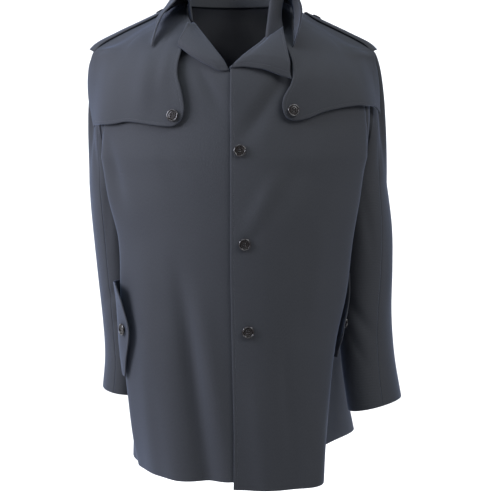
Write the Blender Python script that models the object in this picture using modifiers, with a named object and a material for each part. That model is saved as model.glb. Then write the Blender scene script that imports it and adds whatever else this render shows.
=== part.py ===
"""A short single-breasted overcoat in fine twill, in the hollow form it keeps when it is worn.

Storm flaps buttoned over the chest, shoulder straps, a folded collar with open lapels, two-piece
sleeves and pointed pocket flaps at the sides. Every piece of cloth is a wall of its own. The front
faces -Y, +X is the wearer's left side, and the origin is the middle of the shoulder line, where
the wearer's shoulders carry the coat.
"""

import math
from functools import lru_cache

import bmesh
import bpy
from mathutils import Matrix, Vector

# Driving dimensions, in metres.
CLOTH = 0.0020  # one thickness of the body cloth
DOUBLE = 0.0026  # turned and stitched pieces: lapels, flaps, straps, collar
SEAM = 0.0003  # between two pieces that are sewn together
HEM = -0.8060  # height of the hem under the shoulder line
UNDERLAP_RISE = 0.0180  # the lower front's hem hangs this much higher at its free edge
LAP_EDGE = -0.0022  # the upper front's free edge, in x
UNDERLAP = 0.0450  # how far the lower front runs on beneath the upper one
LAP_LIFT = 0.0042  # the upper front stands this far outside the lower one
BREAK = {"right": -0.1140, "left": -0.1158}  # where each front's lapel begins to roll
SHOULDER_TIP = -0.0780  # height of the armhole's top
UNDERARM = -0.2850  # height of the armhole's lowest point
ARMHOLE_FRONT = 0.80  # how far the armhole bows forward, in section steps
ARMHOLE_BACK = 0.62  # and backward
BACK_HEM_RISE = 0.0160  # the back's hem hangs this much higher
BUTTON = 0.0200  # diameter of every button

# The body's cross sections. A row is one height: the middle of the front and back, how flat the
# front is between its middle and its corners, then the corner, side and back corner of each half.
SECTION_COLUMNS = (
    "z", "front", "flat", "back",
    "l_corner_x", "l_corner_y", "l_side_x", "l_side_y", "l_back_x", "l_back_y",
    "r_corner_x", "r_corner_y", "r_side_x", "r_side_y", "r_back_x", "r_back_y",
)
SECTIONS = (
    (-0.810, -0.178, 0.14, 0.187, 0.150, -0.082, 0.178, 0.000, 0.156, 0.132,
     0.148, -0.150, 0.149, 0.020, 0.228, 0.187),
    (-0.740, -0.177, 0.16, 0.174, 0.166, -0.080, 0.173, 0.006, 0.160, 0.124,
     0.152, -0.136, 0.150, 0.022, 0.212, 0.160),
    (-0.650, -0.176, 0.20, 0.160, 0.178, -0.080, 0.150, 0.030, 0.160, 0.124,
     0.160, -0.116, 0.156, 0.028, 0.196, 0.136),
    (-0.570, -0.175, 0.22, 0.150, 0.186, -0.081, 0.145, 0.035, 0.160, 0.122,
     0.170, -0.102, 0.163, 0.030, 0.188, 0.126),
    (-0.490, -0.173, 0.24, 0.143, 0.187, -0.082, 0.147, 0.035, 0.162, 0.122,
     0.188, -0.090, 0.166, 0.032, 0.184, 0.120),
    (-0.400, -0.170, 0.24, 0.141, 0.189, -0.082, 0.150, 0.033, 0.165, 0.121,
     0.199, -0.086, 0.163, 0.032, 0.184, 0.118),
    (-0.330, -0.166, 0.24, 0.146, 0.206, -0.080, 0.154, 0.031, 0.172, 0.118,
     0.211, -0.081, 0.160, 0.031, 0.187, 0.116),
    (-0.285, -0.163, 0.25, 0.151, 0.213, -0.077, 0.168, 0.028, 0.182, 0.115,
     0.217, -0.077, 0.170, 0.028, 0.190, 0.114),
    (-0.240, -0.159, 0.26, 0.154, 0.217, -0.078, 0.208, 0.022, 0.191, 0.112,
     0.224, -0.078, 0.216, 0.022, 0.194, 0.112),
    (-0.200, -0.154, 0.27, 0.155, 0.216, -0.078, 0.230, 0.016, 0.192, 0.111,
     0.226, -0.078, 0.239, 0.016, 0.195, 0.111),
    (-0.140, -0.146, 0.29, 0.149, 0.201, -0.078, 0.238, 0.008, 0.186, 0.108,
     0.211, -0.078, 0.245, 0.008, 0.188, 0.108),
    (-0.100, -0.133, 0.30, 0.138, 0.182, -0.074, 0.240, 0.004, 0.176, 0.102,
     0.184, -0.074, 0.243, 0.004, 0.178, 0.102),
    (-0.078, -0.118, 0.30, 0.127, 0.166, -0.067, 0.234, 0.002, 0.162, 0.094,
     0.167, -0.067, 0.236, 0.002, 0.164, 0.094),
    (-0.056, -0.099, 0.30, 0.114, 0.138, -0.058, 0.194, 0.002, 0.136, 0.081,
     0.138, -0.058, 0.194, 0.002, 0.136, 0.081),
    (-0.035, -0.081, 0.30, 0.101, 0.108, -0.048, 0.149, 0.002, 0.107, 0.068,
     0.108, -0.048, 0.149, 0.002, 0.107, 0.068),
    (-0.016, -0.067, 0.30, 0.089, 0.081, -0.037, 0.110, 0.004, 0.080, 0.057,
     0.081, -0.037, 0.110, 0.004, 0.080, 0.057),
    (0.000, -0.057, 0.30, 0.079, 0.060, -0.028, 0.080, 0.006, 0.060, 0.050,
     0.060, -0.028, 0.080, 0.006, 0.060, 0.050),
)
# Places round a section, in steps from the front middle: the side seam, and all the way round.
SIDE, AROUND = 4.0, 12.0

# The largest folds in the body cloth. Each is a soft trough (negative depth) or ridge that runs
# from (x, z) at its upper end to (x, z) at its lower end, and fades out at both.
FOLD_COLUMNS = ("face", "top_x", "top_z", "low_x", "low_z", "half_width", "depth", "open_low")
FOLDS = (
    ("front", -0.104, -0.40, -0.056, -0.81, 0.020, -0.0110, 1),
    ("front", -0.072, -0.44, -0.022, -0.81, 0.018, 0.0050, 1),
    ("front", -0.150, -0.36, -0.122, -0.81, 0.022, 0.0055, 1),
    ("front", -0.060, -0.10, -0.008, -0.20, 0.011, -0.0050, 0),
    ("front", 0.098, -0.10, 0.008, -0.25, 0.014, -0.0060, 0),
    ("front", 0.078, -0.27, 0.020, -0.40, 0.012, 0.0035, 0),
    ("front", 0.080, -0.52, 0.108, -0.81, 0.016, -0.0050, 1),
    ("front", -0.214, -0.20, -0.180, -0.37, 0.012, -0.0060, 0),
    ("back", -0.090, -0.34, -0.070, -0.81, 0.026, -0.0090, 1),
    ("back", -0.020, -0.40, 0.014, -0.81, 0.026, 0.0070, 1),
    ("back", 0.080, -0.38, 0.110, -0.81, 0.028, -0.0110, 1),
)

# The sleeves' cross sections below the armhole: height of the middle, centre, half width, half
# depth, and how far the section is turned, inner side forward.
SLEEVE_COLUMNS = ("z", "x", "y", "half_x", "half_y", "turn", "outer_rise")
SLEEVES = {
    "right": (
        (-0.310, 0.2105, 0.036, 0.0420, 0.0660, 0, 0.000),
        (-0.360, 0.2065, 0.038, 0.0435, 0.0660, 0, 0.000),
        (-0.460, 0.1995, 0.042, 0.0425, 0.0640, 0, 0.000),
        (-0.560, 0.1925, 0.040, 0.0400, 0.0620, 0, 0.002),
        (-0.620, 0.1905, 0.032, 0.0385, 0.0600, 2, 0.003),
        (-0.677, 0.1955, 0.024, 0.0375, 0.0590, 4, 0.004),
    ),
    "left": (
        (-0.310, 0.2235, 0.034, 0.0465, 0.0660, 0, 0.000),
        (-0.387, 0.2310, 0.030, 0.0475, 0.0670, 4, 0.000),
        (-0.460, 0.2335, 0.026, 0.0470, 0.0650, 8, 0.001),
        (-0.550, 0.2340, 0.016, 0.0455, 0.0630, 14, 0.003),
        (-0.620, 0.2385, 0.000, 0.0450, 0.0615, 18, 0.004),
        (-0.694, 0.2490, -0.022, 0.0440, 0.0610, 22, 0.011),
    ),
}
FRONT_SEAM = {"right": 64, "left": 50.5}  # the sleeve's front seam, in degrees from outside
HIND_SEAM = 236
BODY_CLEAR = 0.0050  # a sleeve's middle layer stays this far outside the body's
SLEEVE_RADIUS = 0.042  # at its seams
ARMHOLE_GAP = CLOTH / 2 + SEAM  # the sleeve's middle layer starts this far from the armhole
UNDERARM_EASE = 0.0008  # and this much farther below, where it turns down over the side

NAVY = (0.020, 0.023, 0.036)


def clear_scene():
    for item in list(bpy.data.objects):
        bpy.data.objects.remove(item)


def smooth_column(rows, column, z):
    """A column's value at height z, on a smooth curve through the table's rows."""
    heights = [row[0] for row in rows]
    values = [row[column] for row in rows]
    z = min(max(z, min(heights)), max(heights))
    k = 0
    rising = heights[-1] > heights[0]
    while k < len(rows) - 2 and ((z > heights[k + 1]) if rising else (z < heights[k + 1])):
        k += 1

    def slope(i):
        a, b = max(i - 1, 0), min(i + 1, len(rows) - 1)
        return (values[b] - values[a]) / (heights[b] - heights[a])

    step = heights[k + 1] - heights[k]
    t = (z - heights[k]) / step
    h00, h10 = 2 * t**3 - 3 * t**2 + 1, t**3 - 2 * t**2 + t
    h01, h11 = -2 * t**3 + 3 * t**2, t**3 - t**2
    return h00 * values[k] + h10 * step * slope(k) + h01 * values[k + 1] + h11 * step * slope(k + 1)


@lru_cache(maxsize=None)
def section_points(z):
    """The control points of the body's section at height z, from the front middle round by +X."""
    row = {name: smooth_column(SECTIONS, k, z) for k, name in enumerate(SECTION_COLUMNS) if k}

    def half(side, sign):
        corner = Vector((row[side + "_corner_x"], row[side + "_corner_y"]))
        flank = Vector((row[side + "_side_x"], row[side + "_side_y"]))
        middle = Vector((0.56 * corner.x, row["front"] + row["flat"] * (corner.y - row["front"])))
        tuck = Vector((corner.x + 0.40 * (flank.x - corner.x), corner.y + 0.36 * (flank.y - corner.y)))
        hind = Vector((row[side + "_back_x"], row[side + "_back_y"]))
        return [Vector((sign * p.x, p.y)) for p in (middle, corner, tuck, flank, hind)]

    front, back = Vector((0, row["front"])), Vector((0, row["back"]))
    return [front] + half("r", 1) + [back] + half("l", -1)[::-1]


def base_point(u, z):
    """A point of the body's form, without folds: u steps round the section at height z."""
    ring = section_points(round(z, 6))
    k = math.floor(u)
    t = u - k
    a, b, c, d = (ring[(k + j) % len(ring)] for j in (-1, 0, 1, 2))
    p = 0.5 * (2 * b + (c - a) * t + (2 * a - 5 * b + 4 * c - d) * t * t + (3 * b - 3 * c + d - a) * t**3)
    return Vector((p.x, p.y, z))


def outward(surface, u, z, step=0.004):
    """The unit normal of a surface (u, z), pointing out of the coat."""
    across = surface(u + step, z) - surface(u - step, z)
    up = surface(u, min(z + step, -0.0001)) - surface(u, z - step)
    return across.cross(up).normalized()


def fold_depth(u, z):
    """How far the folds move the body cloth at (u, z), outward."""
    place = base_point(u, z)
    face = "front" if place.y < 0 else "back"
    total = 0.0
    for fold in FOLDS:
        row = dict(zip(FOLD_COLUMNS, fold))
        if row["face"] != face:
            continue
        along = (row["top_z"] - z) / (row["top_z"] - row["low_z"])
        if along <= 0 or along >= 1.2:
            continue
        centre = row["top_x"] + (row["low_x"] - row["top_x"]) * along
        width = row["half_width"] * (0.8 + 0.5 * along)
        fade = math.sin(min(along, 0.5 if row["open_low"] else 1.0) * math.pi) ** 1.5
        away = (place.x - centre) / width
        total += row["depth"] * fade * math.exp(-away * away)
    return total


def body_point(u, z):
    """The body cloth itself, folds and all, midway through its thickness."""
    return base_point(u, z) + outward(base_point, u, z) * fold_depth(u, z)


def u_at_x(x, z):
    """The place round the front of the section at height z whose x is this, on either half."""
    low, high = 0.0, SIDE
    sign = 1 if x >= 0 else -1
    for _ in range(30):
        mid = (low + high) / 2
        if abs(base_point(sign * mid, z).x) < abs(x):
            low = mid
        else:
            high = mid
    return sign * low


def armhole_u(z, bow):
    """How far from the side seam the armhole's edge lies at height z."""
    middle, half = (SHOULDER_TIP + UNDERARM) / 2, (SHOULDER_TIP - UNDERARM) / 2
    away = (z - middle) / half
    return bow * math.sqrt(max(0.0, 1 - away * away))


def own_sign(side):
    """The wearer's right is -X and left is +X."""
    return -1 if side == "right" else 1


def even_steps(low, high, count):
    return [low + (high - low) * k / (count - 1) for k in range(count)]


def armhole_angles(piece):
    """The places where the cloth's rows meet the armhole, from its top (0 degrees) to the underarm,
    one of them at the sleeve's seam."""
    if piece == "back":
        return even_steps(0, 360 - HIND_SEAM, 6) + even_steps(360 - HIND_SEAM, 180, 3)[1:]
    above, below = (4, 5) if piece == "right" else (3, 6)
    return even_steps(0, FRONT_SEAM[piece], above) + even_steps(FRONT_SEAM[piece], 180, below)[1:]


def armhole_height(angle):
    middle, half = (SHOULDER_TIP + UNDERARM) / 2, (SHOULDER_TIP - UNDERARM) / 2
    return middle + half * math.cos(math.radians(angle))


SHOULDER_ROWS = even_steps(SHOULDER_TIP, -0.004, 7)[1:]


def panel_heights(piece):
    """The rows of a front or the back: close together at the armhole's ends and the shoulder."""
    skirt = even_steps(HEM, UNDERARM, 12)[:-1]
    armhole = [armhole_height(angle) for angle in armhole_angles(piece)[::-1]]
    heights = skirt + armhole + SHOULDER_ROWS
    if piece in BREAK:
        for end in (BREAK[piece], LAPELS[piece][0][1]):
            if min(abs(z - end) for z in heights) > 0.002:
                heights.append(end)
    return sorted(heights)


def grid_wall(name, rows, thickness, colour, normals):
    """A closed wall of cloth through a grid of points, half its thickness to each side of them."""
    count, width = len(rows), len(rows[0])
    j, i = count // 2, width // 2
    turn = (rows[j][i + 1] - rows[j][i]).cross(rows[j + 1][i] - rows[j][i])
    if turn.dot(normals[j][i]) < 0:
        rows = [row[::-1] for row in rows]
        normals = [row[::-1] for row in normals]
    mesh = bmesh.new()
    sides = []
    for offset in (thickness / 2, -thickness / 2):
        points = [[p + n * offset for p, n in zip(*pair)] for pair in zip(rows, normals)]
        sides.append([[mesh.verts.new(p) for p in row] for row in points])
    outer, inner = sides
    for j in range(count - 1):
        for i in range(width - 1):
            mesh.faces.new((outer[j][i], outer[j][i + 1], outer[j + 1][i + 1], outer[j + 1][i]))
            mesh.faces.new((inner[j][i], inner[j + 1][i], inner[j + 1][i + 1], inner[j][i + 1]))
    border = [(0, i) for i in range(width)]
    border += [(j, width - 1) for j in range(1, count)]
    border += [(count - 1, i) for i in range(width - 2, -1, -1)]
    border += [(j, 0) for j in range(count - 2, 0, -1)]
    for k, (j, i) in enumerate(border):
        n, m = border[(k + 1) % len(border)]
        mesh.faces.new((outer[j][i], inner[j][i], inner[n][m], outer[n][m]))
    return add_mesh(name, mesh, colour)


def add_mesh(name, mesh, colour, roughness=0.85):
    data = bpy.data.meshes.new(name)
    mesh.to_mesh(data)
    mesh.free()
    data.shade_smooth()
    data.set_sharp_from_angle(angle=math.radians(40))
    item = bpy.data.objects.new(name, data)
    coat.objects.link(item)
    paint(item, name, colour, roughness)
    return item


def paint(item, name, colour, roughness):
    material = bpy.data.materials.new(name)
    material.use_nodes = True
    shader = material.node_tree.nodes["Principled BSDF"]
    shader.inputs["Base Color"].default_value = (*colour, 1)
    shader.inputs["Roughness"].default_value = roughness
    shader.inputs["Metallic"].default_value = 0
    item.data.materials.clear()
    item.data.materials.append(material)


def seam_back(surface, u, z, away):
    """The step in u that moves a point on the surface this far along its section."""
    return away / max((surface(u + 0.01, z) - surface(u - 0.01, z)).length / 0.02, 1e-6)


# The front necklines, from the break up the roll line to its end and along the neck seam to the
# shoulder seam: x at each height.
NECKLINE_COLUMNS = ("z", "x")
NECKLINES = {
    "right": ((BREAK["right"], 0.0085), (-0.075, 0.0385), (-0.037, 0.0680), (-0.020, 0.0765),
              (-0.004, 0.0770)),
    "left": ((BREAK["left"], LAP_EDGE), (-0.092, 0.0285), (-0.072, 0.0530), (-0.045, 0.0695),
             (-0.020, 0.0765), (-0.004, 0.0770)),
}


def front_lift(side, u, z):
    """The upper front stands outside the lower one where they lap, and eases back beyond."""
    x = base_point(u, z).x
    if side == "right":
        return 0.0
    return LAP_LIFT * (1 - min(max((x - UNDERLAP - 0.01) / 0.06, 0.0), 1.0))


def inner_u(side, z):
    """The free edge of a front at height z, in steps from the middle (positive on its own side)."""
    sign = own_sign(side)
    if z > BREAK[side]:
        return sign * u_at_x(sign * smooth_column(NECKLINES[side], 1, z), z)
    if side == "left":
        return u_at_x(LAP_EDGE, z)
    tuck = min((BREAK[side] - z) / 0.05, 1.0)
    x = NECKLINES[side][0][1]
    return -u_at_x((UNDERLAP + x) * tuck - x, z)


def outer_u(z, bow):
    if UNDERARM < z < SHOULDER_TIP:
        return armhole_u(z, bow)
    return 0.0


INNER_COLUMNS, OUTER_COLUMNS = 9, 4  # a panel's columns clear of the armhole, and beside it
BESIDE = 0.15  # those two kinds meet this far from the armhole, in section steps


def front_places(side, z, start, crowd=1.0):
    """The columns of a front's row, from a free edge to the side seam or the armhole. They stand
    closer together by the free edge where crowd is over 1."""
    end = SIDE - outer_u(z, ARMHOLE_FRONT)
    end -= seam_back(base_point, own_sign(side) * end, z, SEAM / 2)
    middle = max(SIDE - ARMHOLE_FRONT - BESIDE, start + 2 * BESIDE)
    inner = [start + (middle - start) * t**crowd for t in even_steps(0, 1, INNER_COLUMNS)]
    return inner + even_steps(middle, end, OUTER_COLUMNS + 1)[1:]


def make_front(side):
    """A front, from its free edge to the side seam, the armhole and the shoulder seam."""
    sign = -1 if side == "right" else 1
    rows, normals = [], []
    for z in panel_heights(side):
        places = front_places(side, z, inner_u(side, z))
        row, facing = [], []
        for place in places:
            u, t = sign * place, (place - places[0]) / (places[-1] - places[0])
            height = z
            if z < UNDERARM:
                share = ((UNDERARM - z) / (UNDERARM - HEM)) ** 3
                height += share * BACK_HEM_RISE * t
                if side == "right":
                    height += share * UNDERLAP_RISE * (1 - t) ** 2
            face = outward(body_point, u, height)
            row.append(body_point(u, height) + face * front_lift(side, u, height))
            facing.append(face)
        rows.append(row)
        normals.append(facing)
    return grid_wall("front_" + side, rows, CLOTH, NAVY, normals)


def make_back():
    """The back, in one piece between the side seams, the armholes and the shoulder seams."""
    rows, normals = [], []
    for z in panel_heights("back"):
        reach = outer_u(z, ARMHOLE_BACK)
        start, end = SIDE + reach, AROUND - SIDE - reach
        start += seam_back(base_point, start, z, SEAM / 2)
        end -= seam_back(base_point, end, z, SEAM / 2)
        inner = SIDE + ARMHOLE_BACK + BESIDE
        places = even_steps(start, inner, OUTER_COLUMNS + 1)[:-1]
        places += even_steps(inner, AROUND - inner, INNER_COLUMNS + 2)
        places += even_steps(AROUND - inner, end, OUTER_COLUMNS + 1)[1:]
        share = max((UNDERARM - z) / (UNDERARM - HEM), 0) ** 3
        height = z + share * BACK_HEM_RISE
        rows.append([body_point(u, height) for u in places])
        normals.append([outward(body_point, u, height) for u in places])
    return grid_wall("back", rows, CLOTH, NAVY, normals)


def armhole_point(side, angle):
    """The armhole's edge: 0 degrees at the shoulder, 90 in front, 180 under the arm."""
    z = armhole_height(angle)
    sine = math.sin(math.radians(angle))
    reach = -ARMHOLE_FRONT * sine if sine > 0 else -ARMHOLE_BACK * sine
    sign = -1 if side == "right" else 1
    return sign * (SIDE + reach), z


def body_reach(side, y, z):
    """How far out the body's side reaches at this depth and height."""
    low, high = 1.0, 5.0
    for _ in range(24):
        middle = (low + high) / 2
        if base_point(own_sign(side) * middle, z).y < y:
            low = middle
        else:
            high = middle
    return abs(base_point(own_sign(side) * low, z).x)


def sleeve_ring(side, angle, z):
    """A point of the sleeve below the armhole, 0 degrees outside, 90 in front, 180 inside. The
    body's side dents it, as it hangs just clear of the body."""
    x, y, half_x, half_y, turn, rise = (smooth_column(SLEEVES[side], k, z) for k in range(1, 7))
    a, t = math.radians(angle), math.radians(turn)
    dx, dy = half_x * math.cos(a), -half_y * math.sin(a)
    out = x + dx * math.cos(t) + dy * math.sin(t)
    place = y - dx * math.sin(t) + dy * math.cos(t)
    out = max(out, body_reach(side, place, z) + BODY_CLEAR)
    return Vector((own_sign(side) * out, place, z + rise * math.cos(a)))


def sleeve_point(side, angle, s):
    """The sleeve from its armhole seam (s = 0) to the first whole ring (s = 1) and the cuff (s = 2)."""
    rows = SLEEVES[side]
    top, cuff = rows[0][0], rows[-1][0]
    if s >= 1:
        return sleeve_ring(side, angle, top + (cuff - top) * (s - 1))
    u, z = armhole_point(side, angle)
    start = body_point(u, z)
    middle = body_point(own_sign(side) * SIDE, (SHOULDER_TIP + UNDERARM) / 2)
    face = outward(body_point, u, z)
    into = middle - start
    high = math.cos(math.radians(angle))
    gap = ARMHOLE_GAP + UNDERARM_EASE * min(max(-2 * high, 0), 1)
    start += (into - face * into.dot(face)).normalized() * gap
    end = sleeve_ring(side, angle, top)
    length = (end - start).length
    out, down = (0.75, 0.25) if high > 0 else (0.90, 0.05)
    out, down = 0.62 + (out - 0.62) * abs(high), 0.50 + (down - 0.50) * abs(high)
    leave = Vector((own_sign(side) * out, 0, -down)) * length * (0.9 - 0.5 * max(high, 0))
    arrive = Vector((0, 0, -1)) * length * 0.9
    h00, h10 = 2 * s**3 - 3 * s**2 + 1, s**3 - 2 * s**2 + s
    h01, h11 = -2 * s**3 + 3 * s**2, s**3 - s**2
    return h00 * start + h10 * leave + h01 * end + h11 * arrive


def sleeve_normal(side, angle, s):
    """The unit normal of a sleeve, pointing out of it."""
    around = sleeve_point(side, angle + 2, s) - sleeve_point(side, angle - 2, s)
    down = sleeve_point(side, angle, min(s + 0.02, 2)) - sleeve_point(side, angle, max(s - 0.02, 0))
    return (around.cross(down) * own_sign(side)).normalized()


def make_sleeve(side, piece, start, end):
    """One piece of a two-piece sleeve, between two seams given in degrees round it."""
    gap = math.degrees(SEAM / 2 / SLEEVE_RADIUS)
    front = armhole_angles(side)
    stations = front + [360 - a for a in armhole_angles("back")[-2::-1]]
    stations += [360 + a for a in front[1:]]
    inner = [a for a in stations if start + 1 < a < end - 1]
    rows, normals = [], []
    for s in [0, 0.10, 0.25, 0.45, 0.70] + even_steps(1, 2, 9):
        away = gap * (2.2 if s < 0.3 else 1.0)
        angles = [start + away] + inner + [end - away]
        rows.append([sleeve_point(side, a, s) for a in angles])
        normals.append([sleeve_normal(side, a, s) for a in angles])
    return grid_wall(f"{piece}_{side}", rows, CLOTH, NAVY, normals)


# The storm flaps: their free inner edge, x at each height, and their lower edge, z at each x.
STORM_INNER = {
    "right": ((-0.215, 0.0745), (-0.178, 0.0745), (-0.151, 0.0785), (-0.126, 0.0845), (-0.105, 0.0840),
              (-0.085, 0.0800), (-0.060, 0.0745), (-0.035, 0.0665), (-0.020, 0.0765), (-0.004, 0.0775)),
    "left": ((-0.205, 0.0800), (-0.180, 0.0795), (-0.163, 0.0820), (-0.137, 0.0950), (-0.115, 0.0965),
             (-0.090, 0.0900), (-0.065, 0.0780), (-0.045, 0.0695), (-0.020, 0.0765), (-0.004, 0.0775)),
}
STORM_LOWER = {
    "right": ((0.0745, -0.177), (0.0775, -0.192), (0.0850, -0.203), (0.0965, -0.2085), (0.133, -0.2055),
              (0.158, -0.2020), (0.176, -0.2010), (0.195, -0.2035), (0.219, -0.2065), (0.240, -0.2140)),
    "left": ((0.0795, -0.178), (0.0830, -0.190), (0.0900, -0.1960), (0.0990, -0.1985), (0.118, -0.1960),
             (0.144, -0.1860), (0.167, -0.1800), (0.207, -0.1755), (0.225, -0.1745), (0.250, -0.1880)),
}
STORM_SEAM_LIFT = CLOTH / 2 + SEAM + DOUBLE / 2
STORM_BULGE = 0.0085  # how far the free inner edge stands off the front
STORM_LEVEL = -0.160  # rows above this height are the front's own rows
STORM_ROWS_BELOW = 3


def storm_inner(side, z):
    """A storm flap's free edge at height z, in section steps; near the collar it is the front's."""
    u = abs(u_at_x(own_sign(side) * smooth_column(STORM_INNER[side], 1, z), z))
    return max(u, inner_u(side, z)) if z > BREAK[side] else u


def storm_lift(side, u, z, across):
    """How far a storm flap's middle stands outside the front: across is 0 at its free inner edge."""
    bump = math.exp(-(((z + 0.125) / 0.055) ** 2))
    free = STORM_BULGE * bump * (1 - across) ** 1.5
    apart = 0.0014 * min(storm_inner(side, z) - inner_u(side, z), 0.2) / 0.2 * math.sqrt(1 - across)
    lower = 0.0022 * min(max((-0.14 - z) / 0.06, 0), 1) * (1 - across**4)
    return STORM_SEAM_LIFT + front_lift(side, u, z) + free + apart + lower


def storm_places(side, z):
    """The columns of a storm flap: the front's own by the collar, crowded to its tip below."""
    lower = min(max((-0.06 - z) / 0.06, 0.0), 1.0)
    return front_places(side, z, storm_inner(side, z), 1 + 0.8 * lower)


def storm_row(side, row):
    """The places of one row of a storm flap, (u, z) from its inner edge to the armhole."""
    levels = [z for z in panel_heights(side) if z > STORM_LEVEL]
    if row >= STORM_ROWS_BELOW:
        z = levels[row - STORM_ROWS_BELOW]
        return [(own_sign(side) * u, z) for u in storm_places(side, z)]
    places = []
    for column in range(INNER_COLUMNS + OUTER_COLUMNS):
        low = levels[0] - 0.03
        for _ in range(6):
            u = own_sign(side) * storm_places(side, low)[column]
            low = smooth_column(STORM_LOWER[side], 1, abs(base_point(u, low).x))
        z = low + (levels[0] - low) * row / STORM_ROWS_BELOW
        places.append((own_sign(side) * storm_places(side, z)[column], z))
    return places


def make_storm_flap(side):
    rows, normals = [], []
    count = STORM_ROWS_BELOW + len([z for z in panel_heights(side) if z > STORM_LEVEL])
    for row in range(count):
        places = storm_row(side, row)
        first, last = abs(places[0][0]), abs(places[-1][0])
        points, facing = [], []
        for u, z in places:
            face = outward(body_point, u, z)
            across = (abs(u) - first) / (last - first)
            points.append(body_point(u, z) + face * storm_lift(side, u, z, across))
            facing.append(face)
        rows.append(points)
        normals.append(facing)
    return grid_wall("storm_flap_" + side, rows, DOUBLE, NAVY, normals)


# The shoulder straps: half width at each height, from the armhole up to the point by the collar.
STRAP_COLUMNS = ("z", "half_width")
STRAP = ((SHOULDER_TIP, 0.0240), (-0.045, 0.0215), (-0.034, 0.0210), (-0.0265, 0.0150), (-0.0215, 0.0050))
STRAP_LIFT = STORM_SEAM_LIFT + DOUBLE + 5 * SEAM
STRAP_OVERHANG = 0.0085  # its end runs on past the armhole


def make_strap(side):
    sign = own_sign(side)
    rows, normals = [], []
    shoulder = [z for z in SHOULDER_ROWS if z < STRAP[-2][0]]
    for z in [STRAP[-1][0], STRAP[-2][0]] + shoulder[::-1] + [SHOULDER_TIP]:
        half = smooth_column(STRAP, 1, z)
        reach = seam_back(base_point, sign * SIDE, z, half)
        places = [sign * (SIDE + reach * t) for t in even_steps(-1, 1, 7)]
        normals.append([outward(base_point, u, z) for u in places])
        rows.append([base_point(u, z) + n * STRAP_LIFT for u, n in zip(places, normals[-1])])
    last, before = rows[-1], rows[-2]
    for share in (0.5, 1.0):
        run = [(a - b).normalized() * STRAP_OVERHANG * share for a, b in zip(last, before)]
        rows.append([a + r - Vector((0, 0, 0.0012 * share)) for a, r in zip(last, run)])
        normals.append(normals[-1])
    return grid_wall("shoulder_strap_" + side, rows, DOUBLE, NAVY, normals)


# The pocket flaps: how wide each is at each height, from its sewn edge to its free edge, and how
# far that free edge stands off the coat.
FLAP_COLUMNS = ("z", "width", "proud")
FLAPS = {
    "right": ((-0.632, 0.034, 0.004), (-0.612, 0.045, 0.006), (-0.562, 0.064, 0.009),
              (-0.520, 0.053, 0.012), (-0.474, 0.040, 0.016)),
    "left": ((-0.616, 0.036, 0.022), (-0.596, 0.045, 0.020), (-0.545, 0.062, 0.014),
             (-0.504, 0.053, 0.012), (-0.458, 0.040, 0.010)),
}
FLAP_SEWN_EDGE = {"right": 2.62, "left": 3.25}  # where it is sewn on, in section steps


def walk(u, z, distance, step=0.002):
    """The place this far along the section from u, towards the front."""
    sign = 1 if u > 0 else -1
    while distance > 0:
        move = min(step, distance)
        u -= sign * seam_back(base_point, u, z, move)
        distance -= move
    return u


def flap_place(side, z, share):
    """(u, z) and lift of a point of a pocket flap: share 0 at its sewn edge, 1 at its free edge."""
    sewn = own_sign(side) * FLAP_SEWN_EDGE[side]
    width, proud = (smooth_column(FLAPS[side], k, z) for k in (1, 2))
    lift = CLOTH / 2 + SEAM + DOUBLE / 2 + proud * share**1.6
    return walk(sewn, z, width * share), lift


def make_pocket_flap(side):
    low, high = FLAPS[side][0][0], FLAPS[side][-1][0]
    point = FLAPS[side][2][0]
    rows, normals = [], []
    for z in even_steps(low, point, 5) + even_steps(point, high, 5)[1:]:
        points, facing = [], []
        for share in even_steps(0, 1, 7):
            u, lift = flap_place(side, z, share)
            face = outward(base_point, u, z)
            points.append(body_point(u, z) + face * lift)
            facing.append(face)
        rows.append(points)
        normals.append(facing)
    return grid_wall("pocket_flap_" + side, rows, DOUBLE, NAVY, normals)


# The collar, one row for each place round half the neck. The step counts along NECK_STEPS. Then
# the stand's height and outward lean, how wide the fold on top is, and where the leaf's edge lies
# on the body: a place round the section and a height.
COLLAR_COLUMNS = ("step", "height", "lean", "roll", "belly", "edge_u", "edge_z")
COLLAR = {
    "right": (
        (0, 0.030, 0.004, 0.0290, 0.006, 1.40, -0.083),
        (1, 0.030, 0.003, 0.0270, 0.004, 1.90, -0.056),
        (2, 0.031, 0.000, 0.0220, 0.000, 3.00, -0.039),
        (3, 0.033, -0.002, 0.0170, -0.003, 3.62, -0.028),
        (4, 0.036, -0.003, 0.0140, -0.004, 4.00, -0.023),
        (6, 0.043, 0.000, 0.0140, 0.002, 5.00, -0.034),
        (8, 0.046, 0.001, 0.0130, 0.004, 6.00, -0.042),
    ),
    "left": (
        (0, 0.046, 0.012, 0.0220, 0.006, 1.02, -0.083),
        (1, 0.042, 0.008, 0.0200, 0.003, 1.30, -0.058),
        (2, 0.040, 0.002, 0.0170, -0.001, 1.90, -0.036),
        (3, 0.038, -0.002, 0.0140, -0.004, 3.20, -0.020),
        (4, 0.037, -0.004, 0.0120, -0.005, 3.96, -0.016),
        (6, 0.043, 0.000, 0.0140, 0.002, 5.00, -0.032),
        (8, 0.046, 0.001, 0.0130, 0.004, 6.00, -0.042),
    ),
}
NECK_END = {"right": -0.035, "left": -0.046}  # where the collar's front ends, in height
LEAF_LIFT = STRAP_LIFT + DOUBLE + 0.0030
COLLAR_INSET = 0.0038  # the stand rises this far inside the neck seam


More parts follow.
